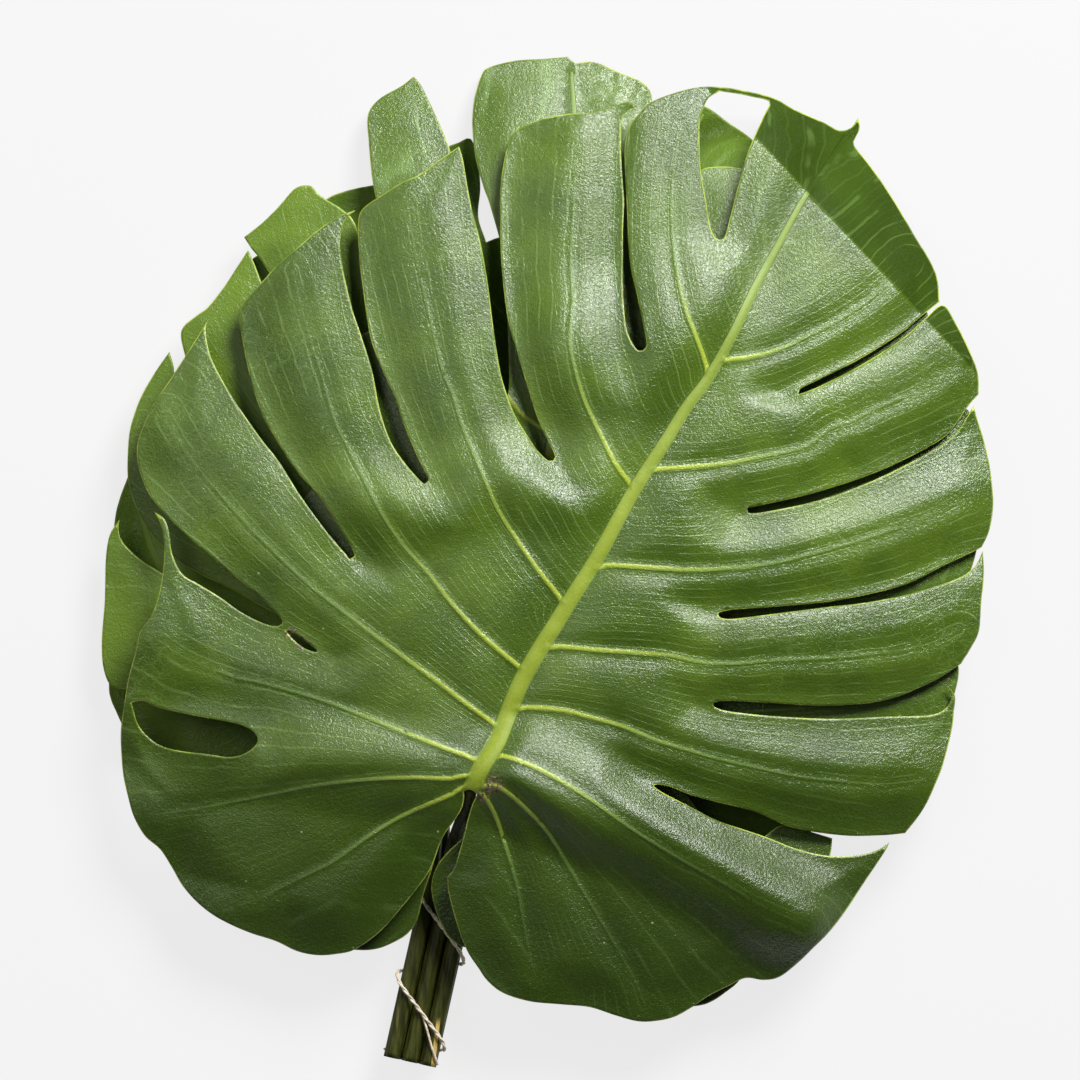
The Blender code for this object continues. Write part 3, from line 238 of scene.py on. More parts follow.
# Line across the front blade's tip, beyond which the blade folds back and its skin carries painted shade
TIP_FOLD = [(754, 138), (800, 187), (840, 228), (880, 270), (920, 315), (980, 379)]

# Second leaf, close behind the front one, tip up the page
SECOND_MARGIN = [
    [(489, 770), (474, 783), (463, 795), (457, 808), (447, 828), (437, 850), (431, 872), (424, 893),
     (417, 920), (408, 934), (394, 943), (376, 950), (355, 951), (325, 946), (290, 925), (262, 892),
     (248, 850), (250, 815), (266, 786)],
    [(266, 786), (300, 783), (350, 774), (402, 755), (409, 748), (398, 744), (350, 752), (300, 757), (273, 752),
     (266, 715), (272, 680), (290, 652)],
    [(290, 652), (330, 654), (390, 657), (422, 651), (428, 642), (418, 637), (380, 632), (335, 618), (298, 592),
     (286, 560), (291, 520), (312, 488)],
    [(312, 488), (340, 510), (385, 540), (424, 560), (434, 558), (430, 548), (400, 510), (378, 465), (365, 410),
     (361, 360), (361, 337), (370, 331), (395, 324), (416, 331)],
    [(416, 331), (436, 368), (458, 405), (478, 433), (488, 434), (486, 422), (462, 385), (436, 342),
     (408, 295), (392, 255), (380, 215), (372, 180), (368, 140), (367, 113), (378, 97), (400, 84), (413, 74)],
    [(413, 74), (420, 82), (428, 98), (436, 115), (444, 133), (450, 150), (459, 185), (468, 225), (478, 280),
     (488, 340), (497, 385), (503, 398), (509, 388), (508, 340), (506, 290), (502, 250), (490, 205),
     (483, 185), (475, 155), (472, 125), (473, 103), (476, 88), (481, 73), (488, 65), (515, 58), (545, 56),
     (568, 54)],
    [(568, 54), (575, 60), (590, 59), (603, 62), (620, 70), (640, 78), (650, 87), (654, 105), (658, 150),
     (661, 200), (663, 260), (664, 305), (668, 318), (675, 308), (684, 262), (693, 215), (698, 183),
     (703, 168), (722, 165), (742, 167), (765, 174), (787, 192), (805, 220), (813, 260)],
    [(813, 260), (780, 292), (730, 332), (694, 365), (690, 374), (700, 374), (745, 354), (795, 332),
     (838, 316), (880, 305), (921, 303), (935, 335), (940, 380)],
    [(940, 380), (922, 408), (891, 428), (840, 446), (780, 463), (720, 477), (677, 486), (671, 492), (680, 496),
     (740, 493), (800, 484), (860, 470), (905, 452), (946, 418), (969, 409), (978, 445), (983, 490), (980, 540),
     (968, 580), (945, 608), (920, 622)],
    [(920, 622), (860, 636), (790, 645), (710, 650), (662, 655), (656, 662), (668, 667), (730, 666), (800, 661),
     (870, 652), (930, 636), (951, 650), (960, 668), (957, 690), (951, 704), (938, 720)],
    [(938, 720), (890, 740), (830, 749), (760, 751), (700, 745), (662, 739), (652, 746), (662, 762), (690, 800),
     (720, 838), (745, 850), (765, 837), (782, 826), (806, 831), (833, 839)],
    [(833, 839), (831, 856), (821, 885), (805, 907), (760, 898), (700, 880), (652, 862), (644, 868),
     (656, 880), (700, 902), (750, 922), (783, 934), (768, 953), (750, 968), (738, 984), (727, 993),
     (714, 1002), (700, 1007), (675, 1008), (640, 1002), (600, 994), (560, 986), (525, 973), (497, 958),
     (475, 951), (460, 947)],
    [(460, 947), (447, 936), (436, 913), (431, 888), (436, 868), (448, 852), (464, 836), (476, 814),
     (486, 794), (494, 778), (489, 770)]]
SECOND_MIDRIB = [(496, 776), (512, 700), (530, 600), (548, 480), (562, 360), (572, 260), (577, 160), (572, 70)]
SECOND_SIDE_VEINS = [
    [(500, 762), (450, 800), (380, 870), (330, 915)],
    [(505, 735), (430, 735), (360, 722), (290, 715)],
    [(518, 665), (450, 610), (370, 580), (310, 550)],
    [(537, 555), (480, 500), (420, 430), (385, 350)],
    [(553, 435), (510, 400), (455, 290), (420, 190), (402, 105)],
    [(562, 355), (610, 320), (680, 380), (640, 330)],
    [(567, 300), (640, 345), (715, 290), (780, 215)],
    [(557, 400), (630, 420), (760, 410), (870, 385)],
    [(545, 500), (640, 550), (780, 560), (920, 550)],
    [(530, 600), (640, 700), (780, 710), (930, 685)],
    [(510, 710), (600, 780), (700, 860), (810, 870)],
    [(500, 762), (560, 850), (640, 930), (730, 975)]]

# Third leaf, whose lobes show along the upper left and the left
THIRD_MARGIN = [
    [(447, 744), (420, 780), (388, 820), (345, 868), (295, 898), (243, 900), (216, 870), (230, 830), (280, 790),
     (340, 760), (390, 746), (400, 738), (388, 731), (330, 724), (270, 715), (230, 708), (190, 703), (150, 697),
     (124, 690)],
    [(124, 690), (113, 688), (106, 682), (101, 665), (100, 640), (103, 600), (104, 560), (108, 535), (118, 519)],
    [(118, 519), (117, 530), (121, 542), (138, 559), (163, 575), (200, 598), (250, 629), (300, 652),
     (345, 668), (354, 663), (346, 652), (310, 632), (260, 606), (232, 590), (195, 572), (165, 550),
     (142, 522), (130, 495), (126, 475), (127, 440), (131, 419), (140, 395), (154, 371), (168, 351)],
    [(168, 351), (172, 364), (174, 377), (182, 403), (205, 443), (242, 488), (280, 528), (294, 540), (299, 534),
     (288, 520), (246, 470), (210, 420), (192, 382), (184, 356), (180, 330), (195, 315), (207, 306), (225, 283),
     (234, 269), (247, 249)],
    [(247, 249), (253, 262), (264, 290), (285, 332), (306, 372), (314, 380), (318, 372), (302, 335),
     (280, 292), (262, 262), (250, 247), (243, 236)],
    [(243, 236), (262, 221), (278, 205), (293, 188), (303, 184), (311, 185), (317, 192), (325, 198), (341, 208),
     (354, 222), (363, 255), (372, 300), (384, 345), (390, 355), (395, 350), (399, 340), (418, 338),
     (442, 356), (462, 400), (472, 447), (468, 480), (450, 495), (446, 502), (456, 506), (490, 498),
     (520, 520), (538, 570), (538, 630), (524, 690), (500, 724), (470, 737), (455, 738), (447, 744)]]
THIRD_MIDRIB = [(456, 742), (425, 660), (385, 560), (345, 460), (305, 365), (272, 290), (246, 241)]
THIRD_SIDE_VEINS = [
    [(450, 725), (400, 765), (330, 820), (270, 870)],
    [(440, 700), (360, 690), (250, 670), (140, 640)],
    [(420, 648), (330, 590), (230, 520), (150, 440)],
    [(388, 566), (320, 490), (250, 400), (205, 325)],
    [(345, 460), (350, 380), (335, 290), (310, 210)],
    [(380, 548), (410, 470), (425, 400), (425, 355)],
    [(420, 648), (470, 600), (500, 560), (505, 520)]]

# Fourth leaf, deep in the bunch, whose lobes show at the top
FOURTH_MARGIN = [
    [(520, 728), (500, 716), (470, 700), (440, 672), (424, 635), (428, 602), (452, 592), (492, 580), (499, 572),
     (492, 565), (458, 560), (420, 550), (398, 520), (390, 478), (404, 466), (440, 474), (500, 482),
     (520, 477), (524, 468), (514, 460), (478, 440), (440, 404), (398, 376), (350, 356), (300, 335), (262, 308),
     (246, 284), (247, 264), (260, 254), (288, 268), (322, 296), (342, 300), (341, 270), (333, 245),
     (322, 215), (325, 197), (347, 188), (371, 183), (388, 180), (400, 188), (404, 215),
     (410, 260), (425, 320), (446, 362), (454, 368), (455, 358), (442, 320), (434, 280), (432, 230),
     (436, 190), (442, 160), (449, 143)],
    [(449, 143), (458, 140), (470, 136), (477, 155), (480, 185), (478, 215), (486, 241)],
    [(486, 241), (500, 236), (525, 234), (550, 246), (575, 262), (602, 238), (628, 180), (656, 122), (688, 103),
     (707, 104), (730, 120), (753, 137), (775, 165), (789, 205), (784, 240), (760, 272), (700, 322),
     (672, 350), (671, 360), (682, 360), (730, 332), (790, 292), (830, 268), (858, 266), (884, 303),
     (900, 350), (903, 400), (886, 432), (800, 452), (730, 472), (682, 484), (675, 491), (684, 497),
     (740, 493), (830, 478), (893, 468), (917, 505), (930, 560), (924, 610), (900, 638), (820, 650),
     (740, 654), (682, 655), (674, 662), (684, 668), (750, 675), (830, 673), (893, 670), (906, 702),
     (895, 750), (870, 790), (838, 812), (790, 850), (740, 878), (690, 880), (640, 862), (600, 832),
     (566, 796), (540, 762), (520, 728)]]
FOURTH_MIDRIB = [(524, 734), (530, 640), (552, 520), (588, 400), (626, 290), (666, 190), (704, 112)]
FOURTH_SIDE_VEINS = [
    [(527, 690), (490, 660), (460, 640), (440, 630)],
    [(540, 580), (500, 530), (450, 515), (410, 500)],
    [(570, 455), (500, 400), (420, 330), (360, 220)],
    [(590, 395), (530, 340), (480, 280), (455, 170)],
    [(610, 335), (680, 290), (720, 240), (750, 180)],
    [(575, 440), (680, 410), (790, 370), (870, 330)],
    [(550, 530), (660, 580), (790, 580), (905, 560)],
    [(530, 660), (640, 740), (760, 780), (870, 750)]]

# Fifth leaf, the lowest, which shows at the far left
FIFTH_MARGIN = [
    [(436, 742), (428, 775), (412, 812), (386, 856), (346, 892), (300, 902), (268, 885), (262, 855), (300, 820),
     (345, 790), (352, 782), (342, 778), (300, 795), (250, 830), (212, 850), (178, 822), (150, 790),
     (134, 760), (121, 730), (113, 712), (108, 700), (106, 683), (108, 620), (109, 560), (112, 520),
     (117, 498), (126, 474)],
    [(126, 474), (135, 490), (150, 512), (172, 530), (205, 541), (240, 548), (290, 570), (338, 602),
     (372, 630), (380, 628), (378, 618), (352, 590), (330, 560), (338, 535), (372, 535), (410, 560),
     (450, 600), (476, 650), (480, 700), (468, 728), (452, 734), (436, 742)]]
FIFTH_MIDRIB = [(444, 738), (385, 702), (300, 672), (220, 632), (160, 570), (130, 490)]
FIFTH_SIDE_VEINS = [
    [(425, 728), (390, 790), (350, 850), (310, 880)],
    [(360, 693), (300, 740), (240, 790), (200, 820)],
    [(270, 660), (210, 680), (160, 700), (118, 700)],
    [(400, 712), (420, 660), (410, 610), (380, 560)]]

# Droops of the back leaves: a line, how far the droop reaches and its fall in millimetres
SECOND_DROOPS = [([(400, 60), (560, 40), (690, 80)], 230.0, 13.0)]
FOURTH_DROOPS = [
    ([(330, 170), (470, 130), (700, 80)], 120.0, 19.0), ([(930, 330), (950, 560), (930, 760)], 140.0, 22.0)]
FIFTH_DROOPS = [([(90, 450), (90, 720), (140, 850)], 95.0, 14.0)]

# The bundle of stalks: its two layers and the pitch of the stalks in millimetres, and its ends on the grid
STALK_LOW = 6.1
STALK_HIGH = 12.8
STALK_PITCH = 7.7
BUNDLE_FOOT = (409.0, 1064.0)
BUNDLE_HEAD = (440.0, 925.0)
STALK_STEP = 5.0
STALK_SIDES = 54
STALK_RIBS = 9
RIB_DEPTH = 0.035
TAPER_START = -0.6
JOINT_DEPTH = 1.2

# The band: how many turns it has made at which y of the grid, its slant from one side of the bundle to the
# other, its twist in millimetres to a turn, and its loose strand's grid points with heights in millimetres
BAND_TURNS = [(0.0, 893.0), (0.44, 958.0), (1.0, 981.0), (1.44, 1045.0), (1.93, 1058.0)]
BAND_SLANT = 0.22
BAND_STATIONS = 400
RING_STATIONS = 360
BAND_TWIST = 9.0
STRAND_SIDES = 12
STRAND_UP = (0.3, 0.2, 1.0)
LOOSE_STEP = 2.0
LOOSE_STRAND = [(421, 1013, 17.3), (426, 1030, 17.6), (431, 1048, 17.5), (435, 1060, 16.6), (437, 1067, 15.2)]

# The dry strip of the stalk beside it: its ends on the grid, and its half width and fading in metres
DRY_STRIP = ((438.5, 1018), (432.0, 1072))
DRY_STRIP_HALF = 0.0010
DRY_STRIP_FADING = 0.00504

# The order of the finishes on a leaf
ON_BLADE, ON_STALK, ON_TIP = 0, 1, 2

# Colours of the finishes; among the skin's colours is a painted shade colour for the lower blades and the folded
# tip
SKIN_COLOURS = {
    "Deep": (0.046, 0.092, 0.005, 1), "Light": (0.115, 0.195, 0.012, 1), "Painted shade": (0.026, 0.052, 0.003, 1),
    "Vein": (0.40, 0.50, 0.05, 1), "Pale": (0.17, 0.28, 0.07, 1), "Margin": (0.42, 0.52, 0.08, 1),
    "Rib": (0.27, 0.35, 0.015, 1)}
SPECK = (0.50, 0.56, 0.28, 1)
SCAR_DARK = (0.02, 0.014, 0.006, 1)
SCAR_LIGHT = (0.30, 0.21, 0.11, 1)
STALK_DARK = (0.020, 0.023, 0.003, 1)
STALK_LIGHT = (0.066, 0.074, 0.012, 1)
DRY_PATCH = (0.30, 0.27, 0.09, 1)
STRIP_DARK = (0.42, 0.27, 0.06, 1)
STRIP_LIGHT = (0.78, 0.60, 0.20, 1)
BAND_DUSTY = (0.50, 0.42, 0.30, 1)
BAND_CREAM = (0.78, 0.71, 0.58, 1)
WHITE = (1, 1, 1, 1)

# Clouds of the finishes: how many to the metre, their detail, roughness and distortion
CLOUDS = {
    "blotches": (28.0, 3.0, 0.55), "wide clouds": (7.0, 1.0), "vein wander": (32.0, 3.0, 0.55),
    "broken veins": (60.0, 2.0), "net patches": (38.0, 1.0), "midrib streaks": (600.0, 2.0),
    "margin": (70.0, 3.0), "speck patches": (90.0, 2.0), "folded tip": (30.0, 2.0),
    "scar colour": (620.0, 3.0, 0.7), "torn scar": (420.0, 3.0, 0.7, 1.5), "crinkle": (760.0, 3.0, 0.6, 0.8),
    "grain": (1700.0, 2.0), "ripple": (90.0, 2.0), "fine streaks": (1100.0, 1.0), "gloss": (24.0, 2.0),
    "stalk streaks": (500.0, 3.0, 0.6), "dry patches": (160.0, 2.0), "band dust": (700.0, 3.0, 0.6)}

# Fine veins between two side veins and how far they wander, how far the net's cells stray in metres, and
# how many cells, strays and specks there are to the metre
FINE_VEINS = 11.0
FINE_WANDER = 0.9
FAINT_VEINS = 31.0
FAINT_WANDER = 2.2
NET_STRAY = 0.004
NET_CELLS = 200.0
STRAY_SCALE = 130.0
SPECK_CELLS = 130.0

# Relief of the finishes in millimetres, and the share of the blade's that the midrib has
CRINKLE_RELIEF = 0.34
GRAIN_RELIEF = 0.12
RIPPLE_RELIEF = 0.25
FINE_VEIN_RELIEF = 0.05
STREAK_RELIEF = 0.04
MIDRIB_SHARE = 0.3
STALK_RELIEF = 0.25
BAND_RELIEF = 0.1

# The picture: its width in squares, and heights in metres
PICTURE_SQUARES = 1080
CAMERA_HEIGHT = 6.0
FOCUS_HEIGHT = 0.040

# Lamps: name, place in metres, width in metres, watts
LAMPS = [
    ("broad lamp", (0.85, 1.55, 1.50), 1.1, 92.0),
    ("fill lamp", (-1.1, 0.5, 1.9), 1.2, 9.0)]
SURROUND = 0.05
FLOOR_GREY = 0.10
FLOOR_GLOW = 0.795
FLOOR_HALF = 6.0


def page(x, y):
    """Metres from a grid point."""
    return ((x - PAGE_CENTRE[0]) * SQUARE, (PAGE_CENTRE[1] - y) * SQUARE)


def smooth_line(points, step):
    """Points about every step along a smooth curve through the given ones."""
    points = [np.array(point, float) for point in points]
    ends = [2 * points[0] - points[1]] + points + [2 * points[-1] - points[-2]]
    line = []
    for before, start, finish, after in zip(ends, ends[1:], ends[2:], ends[3:]):
        count = max(1, round(np.linalg.norm(finish[:2] - start[:2]) / step))
        for index in range(count):
            t = index / count
            line.append(0.5 * (2 * start + (finish - before) * t
                               + (2 * before - 5 * start + 4 * finish - after) * t * t
                               + (3 * start - before - 3 * finish + after) * t ** 3))
    line.append(points[-1])
    return np.array(line)


def smooth_step(value):
    """A smooth rise from 0 to 1."""
    value = np.clip(value, 0, 1)
    return value * value * (3 - 2 * value)


def line_distance(points, line):
    """Each point's distance to a line, its place along the line from 0 to 1, and which side it lies on."""
    best = np.full(len(points), FAR)
    place = np.zeros(len(points))
    side = np.zeros(len(points))
    lengths = np.linalg.norm(np.diff(line, axis=0), axis=1)
    passed = 0.0
    for start, finish, length in zip(line, line[1:], lengths):
        reach = finish - start
        away = points - start
        along = np.clip(away @ reach / length ** 2, 0, 1)
        gap = np.linalg.norm(away - along[:, None] * reach, axis=1)
        nearer = gap < best
        best[nearer] = gap[nearer]
        place[nearer] = (passed + along[nearer] * length) / lengths.sum()
        side[nearer] = np.sign(away[nearer, 0] * reach[1] - away[nearer, 1] * reach[0])
        passed += length
    return best, place, side


def inside(points, loops):
    """Whether each point is inside the outline and outside its holes."""
    odd = np.zeros(len(points), bool)
    for loop in loops:
        for start, finish in zip(loop, np.roll(loop, -1, axis=0)):
            crosses = (start[1] > points[:, 1]) != (finish[1] > points[:, 1])
            rise = finish[1] - start[1] if finish[1] != start[1] else 1.0
            at = start[0] + (points[:, 1] - start[1]) / rise * (finish[0] - start[0])
            odd ^= crosses & (points[:, 0] < at)
    return odd


def nearest(places, points, count):
    """Indexes of the places nearest to each point."""
    tree = KDTree(len(places))
    for index, place in enumerate(places):
        tree.insert((*place, 0.0), index)
    tree.balance()
    return np.array([[found[1] for found in tree.find_n((*point, 0.0), count)] for point in points])


def edge_distance(points, loops):
    """Each point's distance to the nearest margin."""
    starts = np.vstack(loops)
    finishes = np.vstack([np.roll(loop, -1, axis=0) for loop in loops])
    best = np.full(len(points), FAR)
    for column in nearest((starts + finishes) / 2, points, NEAR_MARGINS).T:
        reach = finishes[column] - starts[column]
        away = points - starts[column]
        along = np.clip((away * reach).sum(axis=1) / np.maximum((reach ** 2).sum(axis=1), TINY), 0, 1)
        best = np.minimum(best, np.linalg.norm(away - along[:, None] * reach, axis=1))
    return best


def beyond_fold(points):
    """How far each point lies beyond the tip's fold line, in squares, eased over the first stretch."""
    start, finish = np.array(TIP_FOLD[0], float), np.array(TIP_FOLD[-1], float)
    along = (finish - start) / np.linalg.norm(finish - start)
    gap = (points - start) @ np.array([along[1], -along[0]])
    return np.where(gap > FOLD_EASE, gap - FOLD_EASE / 2, np.where(gap > 0, gap ** 2 / (2 * FOLD_EASE), 0.0))


class Blade:
    """A blade's drawing, its heights and what its finish is drawn from."""

    def __init__(self, runs, holes, midrib, side_veins, level, spacing, form, droops=(), rolls=(),
                 folded=False):
        self.loops = [np.vstack([smooth_line(run, MARGIN_STEP)[:-1] for run in runs])]
        self.loops += [smooth_line(hole + hole[:1], MARGIN_STEP)[:-1] for hole in holes]
        self.midrib = smooth_line(midrib, LINE_STEP)
        side_veins = [[self.root(vein[0])] + vein for vein in side_veins]
        self.side_veins = [smooth_line(vein, LINE_STEP) for vein in side_veins]
        self.fine_veins = [smooth_line(vein, VEIN_STEP) for vein in [midrib] + side_veins]
        self.level = level
        self.spacing = spacing
        self.form = form
        self.droops = droops
        self.rolls = rolls or [(MARGIN_ROLL * form, MARGIN_ROLL * form)] * len(side_veins)
        self.folded = folded

    def root(self, start):
        """Where a side vein leaves the midrib: a little below the midrib's point nearest to its start."""
        gaps = np.linalg.norm(self.midrib - np.array(start, float), axis=1)
        return tuple(self.midrib[max(int(gaps.argmin()) - 1, 0)])

    def midrib_width(self, place):
        """Half the midrib's width in squares at a place along it."""
        return MIDRIB_HALF - MIDRIB_NARROWING * place ** 1.5

    def side_vein_width(self, place):
        """Half a side vein's width in squares at a place along it."""
        return SIDE_VEIN_HALF - SIDE_VEIN_NARROWING * place

    def survey(self, points):
        """Where each point lies among the midrib, the side veins and the margins."""
        edge = edge_distance(points, self.loops)
        rib_gap, rib_place, rib_side = line_distance(points, self.midrib)
        vein_gap = np.full(len(points), FAR)
        vein_place = np.zeros(len(points))
        found = {-1: [], 1: []}
        for vein, roll in zip(self.side_veins, self.rolls):
            gap, place, side = line_distance(points, vein)
            nearer = gap < vein_gap
            vein_gap[nearer] = gap[nearer]
            vein_place[nearer] = place[nearer]
            _, root, _ = line_distance(vein[:1], self.midrib)
            _, _, half = line_distance(vein[len(vein) // 2:][:1], self.midrib)
            found[int(half[0]) or 1].append((root[0], gap, side, roll))
        course = np.zeros(len(points))
        fall = np.zeros(len(points))
        for half, veins in found.items():
            veins.sort(key=lambda vein: vein[0])
            here = rib_side == half
            outer = [np.full(len(points), FIRST_VEIN_GAP)]
            gaps = np.array(outer + [gap for _, gap, _, _ in veins] + outer)
            passed = sum((side * half < 0).astype(int) for _, _, side, _ in veins)
            below = np.take_along_axis(gaps, passed[None], 0)[0]
            above = np.take_along_axis(gaps, passed[None] + 1, 0)[0]
            share = below / np.maximum(below + above, TINY)
            course[here] = (passed + share)[here]
            rolls = [roll for _, _, _, roll in veins]
            lower = np.array([roll[0] for roll in rolls] + [rolls[-1][1]])[passed]
            upper = np.array([rolls[0][0]] + [roll[1] for roll in rolls])[passed]
            share = smooth_step((share - ROLL_CHANGE[0]) / (ROLL_CHANGE[1] - ROLL_CHANGE[0]))
            fall[here] = (upper + share * (lower - upper))[here]
        return {"edge": edge, "rib_gap": rib_gap, "rib_place": rib_place, "rib_side": rib_side,
                "vein_gap": vein_gap, "vein_place": vein_place, "course": course, "fall": fall}

    def heights(self, points, lie):
        """Heights of the upper and the under face in millimetres."""
        away = (points - DOME_CENTRE) / DOME_REACH
        middle = self.level * (1 - DOME_FALL * (away ** 2).sum(axis=1))
        rib_width = self.midrib_width(lie["rib_place"])
        ridge = (MIDRIB_RISE * (1 - MIDRIB_RISE_LOSS * lie["rib_place"])
                 * smooth_step(1 - lie["rib_gap"] / rib_width))
        side_ridge = (SIDE_VEIN_RISE * (1 - SIDE_VEIN_RISE_LOSS * lie["vein_place"])
                      * smooth_step(1 - lie["vein_gap"] / self.side_vein_width(lie["vein_place"])))
        right = smooth_step(0.5 - lie["rib_side"] * lie["rib_gap"] / VEIN_VALLEY_CHANGE)
        depth = VEIN_VALLEY[0] + right * (VEIN_VALLEY[1] - VEIN_VALLEY[0])
        depth *= 1 - VEIN_VALLEY_LOSS * lie["vein_place"]
        valley = depth * np.exp(-(lie["vein_gap"] / VEIN_VALLEY_WIDTH) ** 2)
        valley = np.hypot(valley, MIDRIB_VALLEY * np.exp(-(lie["rib_gap"] / MIDRIB_VALLEY_WIDTH) ** 2))
        width = lie["edge"] + lie["vein_gap"]
        reach = np.minimum(ROLL_WIDTH[0] + ROLL_WIDTH[1] * lie["fall"], np.maximum(width, LEAST_WIDTH))
        roll = lie["fall"] * np.minimum(width / FULL_ROLL_WIDTH, 1) * smooth_step(1 - lie["edge"] / reach)
        middle -= np.hypot(self.form * valley, roll)
        for line, reach, fall in self.droops:
            gap, _, _ = line_distance(points, np.array(line, float))
            middle -= fall * smooth_step(1 - gap / reach)
        if self.folded:
            middle -= TIP_FOLD_SLOPE * SQUARE / MM * beyond_fold(points)
        keel = (MIDRIB_KEEL * (1 - KEEL_LOSS * lie["rib_place"])
                * smooth_step(1 - lie["rib_gap"] / (KEEL_WIDTH * rib_width)))
        under = np.maximum(middle - BLADE_THICKNESS - keel, 0.0)
        upper = np.maximum(middle, under + BLADE_THICKNESS) + np.maximum(ridge, side_ridge)
        return upper, under

    def vein_rows(self):
        """Five rows of points along each vein: its crest, its shoulders and its feet."""
        for number, crest in enumerate(self.fine_veins):
            width = self.side_vein_width if number else self.midrib_width
            tangent = np.gradient(crest, axis=0)
            tangent /= np.linalg.norm(tangent, axis=1)[:, None]
            across = np.column_stack([-tangent[:, 1], tangent[:, 0]])
            half = np.array([width(place) for place in np.linspace(0, 1, len(crest))])[:, None]
            for share in VEIN_SHARES:
                yield crest + across * half * share

    def margin_rows(self):
        """Rows of points beside each margin, one on either side."""
        for loop in self.loops:
            tangent = np.roll(loop, -1, axis=0) - np.roll(loop, 1, axis=0)
            tangent /= np.maximum(np.linalg.norm(tangent, axis=1), TINY)[:, None]
            across = np.column_stack([-tangent[:, 1], tangent[:, 0]]) * MARGIN_LIP
            for row in (loop + across, loop - across):
                yield row

    def filling(self):
        """Points in an even pattern over the whole outline."""
        lowest, highest = self.loops[0].min(axis=0), self.loops[0].max(axis=0)
        rows = int((highest[1] - lowest[1]) / (self.spacing * ROW_PITCH)) + 1
        return np.array([(x + row % 2 * self.spacing / 2, lowest[1] + row * self.spacing * ROW_PITCH)
                         for row in range(rows) for x in np.arange(lowest[0], highest[0], self.spacing)])

    def net(self):
        """Flat triangles over the blade: its margins, its veins and an even filling."""
        points = np.vstack(self.loops)
        edges = []
        first = 0
        for loop in self.loops:
            edges += [(first + i, first + (i + 1) % len(loop)) for i in range(len(loop))]
            first += len(loop)
        lines = list(self.vein_rows())
        if self.folded:
            lines += [smooth_line(TIP_FOLD, VEIN_STEP) + shift for shift in FOLD_ROWS]
        rows = [(line, ROW_TO_MARGIN, ROW_TO_ROW) for line in lines]
        rows += [(row, LIP_TO_MARGIN * MARGIN_LIP, ROW_TO_ROW) for row in self.margin_rows()]
        rows += [(self.filling(), FILLING_TO_MARGIN * self.spacing, FILLING_TO_ROW * self.spacing)]
        for row, from_edge, from_others in rows:
            row = row[inside(row, self.loops)]
            if len(row):
                row = row[edge_distance(row, self.loops) > from_edge]
            if len(row):
                closest = nearest(points, row, 1)[:, 0]
                row = row[np.linalg.norm(points[closest] - row, axis=1) > from_others]
            points = np.vstack([points, row])
        flat, _, faces, *_ = delaunay_2d_cdt([Vector(point) for point in points], edges, [], 0, 1e-4)
        flat = np.array([tuple(point) for point in flat])
        faces = np.array([tuple(face) for face in faces])
        return flat, faces[inside(flat[faces].mean(axis=1), self.loops)]


def put_in_scene(name, data):
    """A new object of the scene that shows the data."""
    thing = bpy.data.objects.new(name, data)
    bpy.context.scene.collection.objects.link(thing)
    return thing


def new_mesh(name, mesh):
    """The mesh's faces as data of their own."""
    data = bpy.data.meshes.new(name)
    mesh.to_mesh(data)
    mesh.free()
    return data


def new_piece(name, mesh, finishes):
    """A finished piece that stands for the node of its name."""
    data = new_mesh(name + "_look", mesh)
    for finish in finishes:
        data.materials.append(finish)
    data.polygons.foreach_set("use_smooth", [True] * len(data.polygons))
    piece = put_in_scene(name + "_look", data)
    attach(piece, "root")
    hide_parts(name)


def add_sheet(mesh, blade):
    """The blade's two faces and the rim between them, with its survey on every point."""
    flat, faces = blade.net()
    lie = blade.survey(flat)
    upper, under = blade.heights(flat, lie)
    marks = {
        "margin_gap": lie["edge"],
        "rib_share": lie["rib_gap"] / blade.midrib_width(lie["rib_place"]),
        "rib_gap": lie["rib_gap"],
        "rib_place": lie["rib_place"],
        "vein_share": lie["vein_gap"] / blade.side_vein_width(lie["vein_place"]),
        "vein_place": lie["vein_place"],
        "course": lie["course"],
        "past_fold": beyond_fold(flat) if blade.folded else np.zeros(len(flat))}
    layers = {name: mesh.verts.layers.float.new(name) for name in marks}
    top = [mesh.verts.new((*page(*point), height * MM)) for point, height in zip(flat, upper)]
    low = [mesh.verts.new((*page(*point), height * MM)) for point, height in zip(flat, under)]
    for name, layer in layers.items():
        for index, value in enumerate(marks[name]):
            top[index][layer] = value
            low[index][layer] = value
    borders = set()
    for a, b, c in faces:
        along, across = flat[b] - flat[a], flat[c] - flat[a]
        if along[0] * across[1] > along[1] * across[0]:
            b, c = c, b
        face = mesh.faces.new((top[a], top[b], top[c]))
        face.material_index = ON_TIP if marks["past_fold"][[a, b, c]].mean() > PAST_FOLD else ON_BLADE
        mesh.faces.new((low[c], low[b], low[a]))
        for start, finish in ((a, b), (b, c), (c, a)):
            if (finish, start) in borders:
                borders.remove((finish, start))
            else:
                borders.add((start, finish))
    for start, finish in sorted(borders):
        mesh.faces.new((top[finish], top[start], low[start], low[finish]))
    bmesh.ops.delete(mesh, geom=[vert for vert in mesh.verts if not vert.link_faces], context="VERTS")


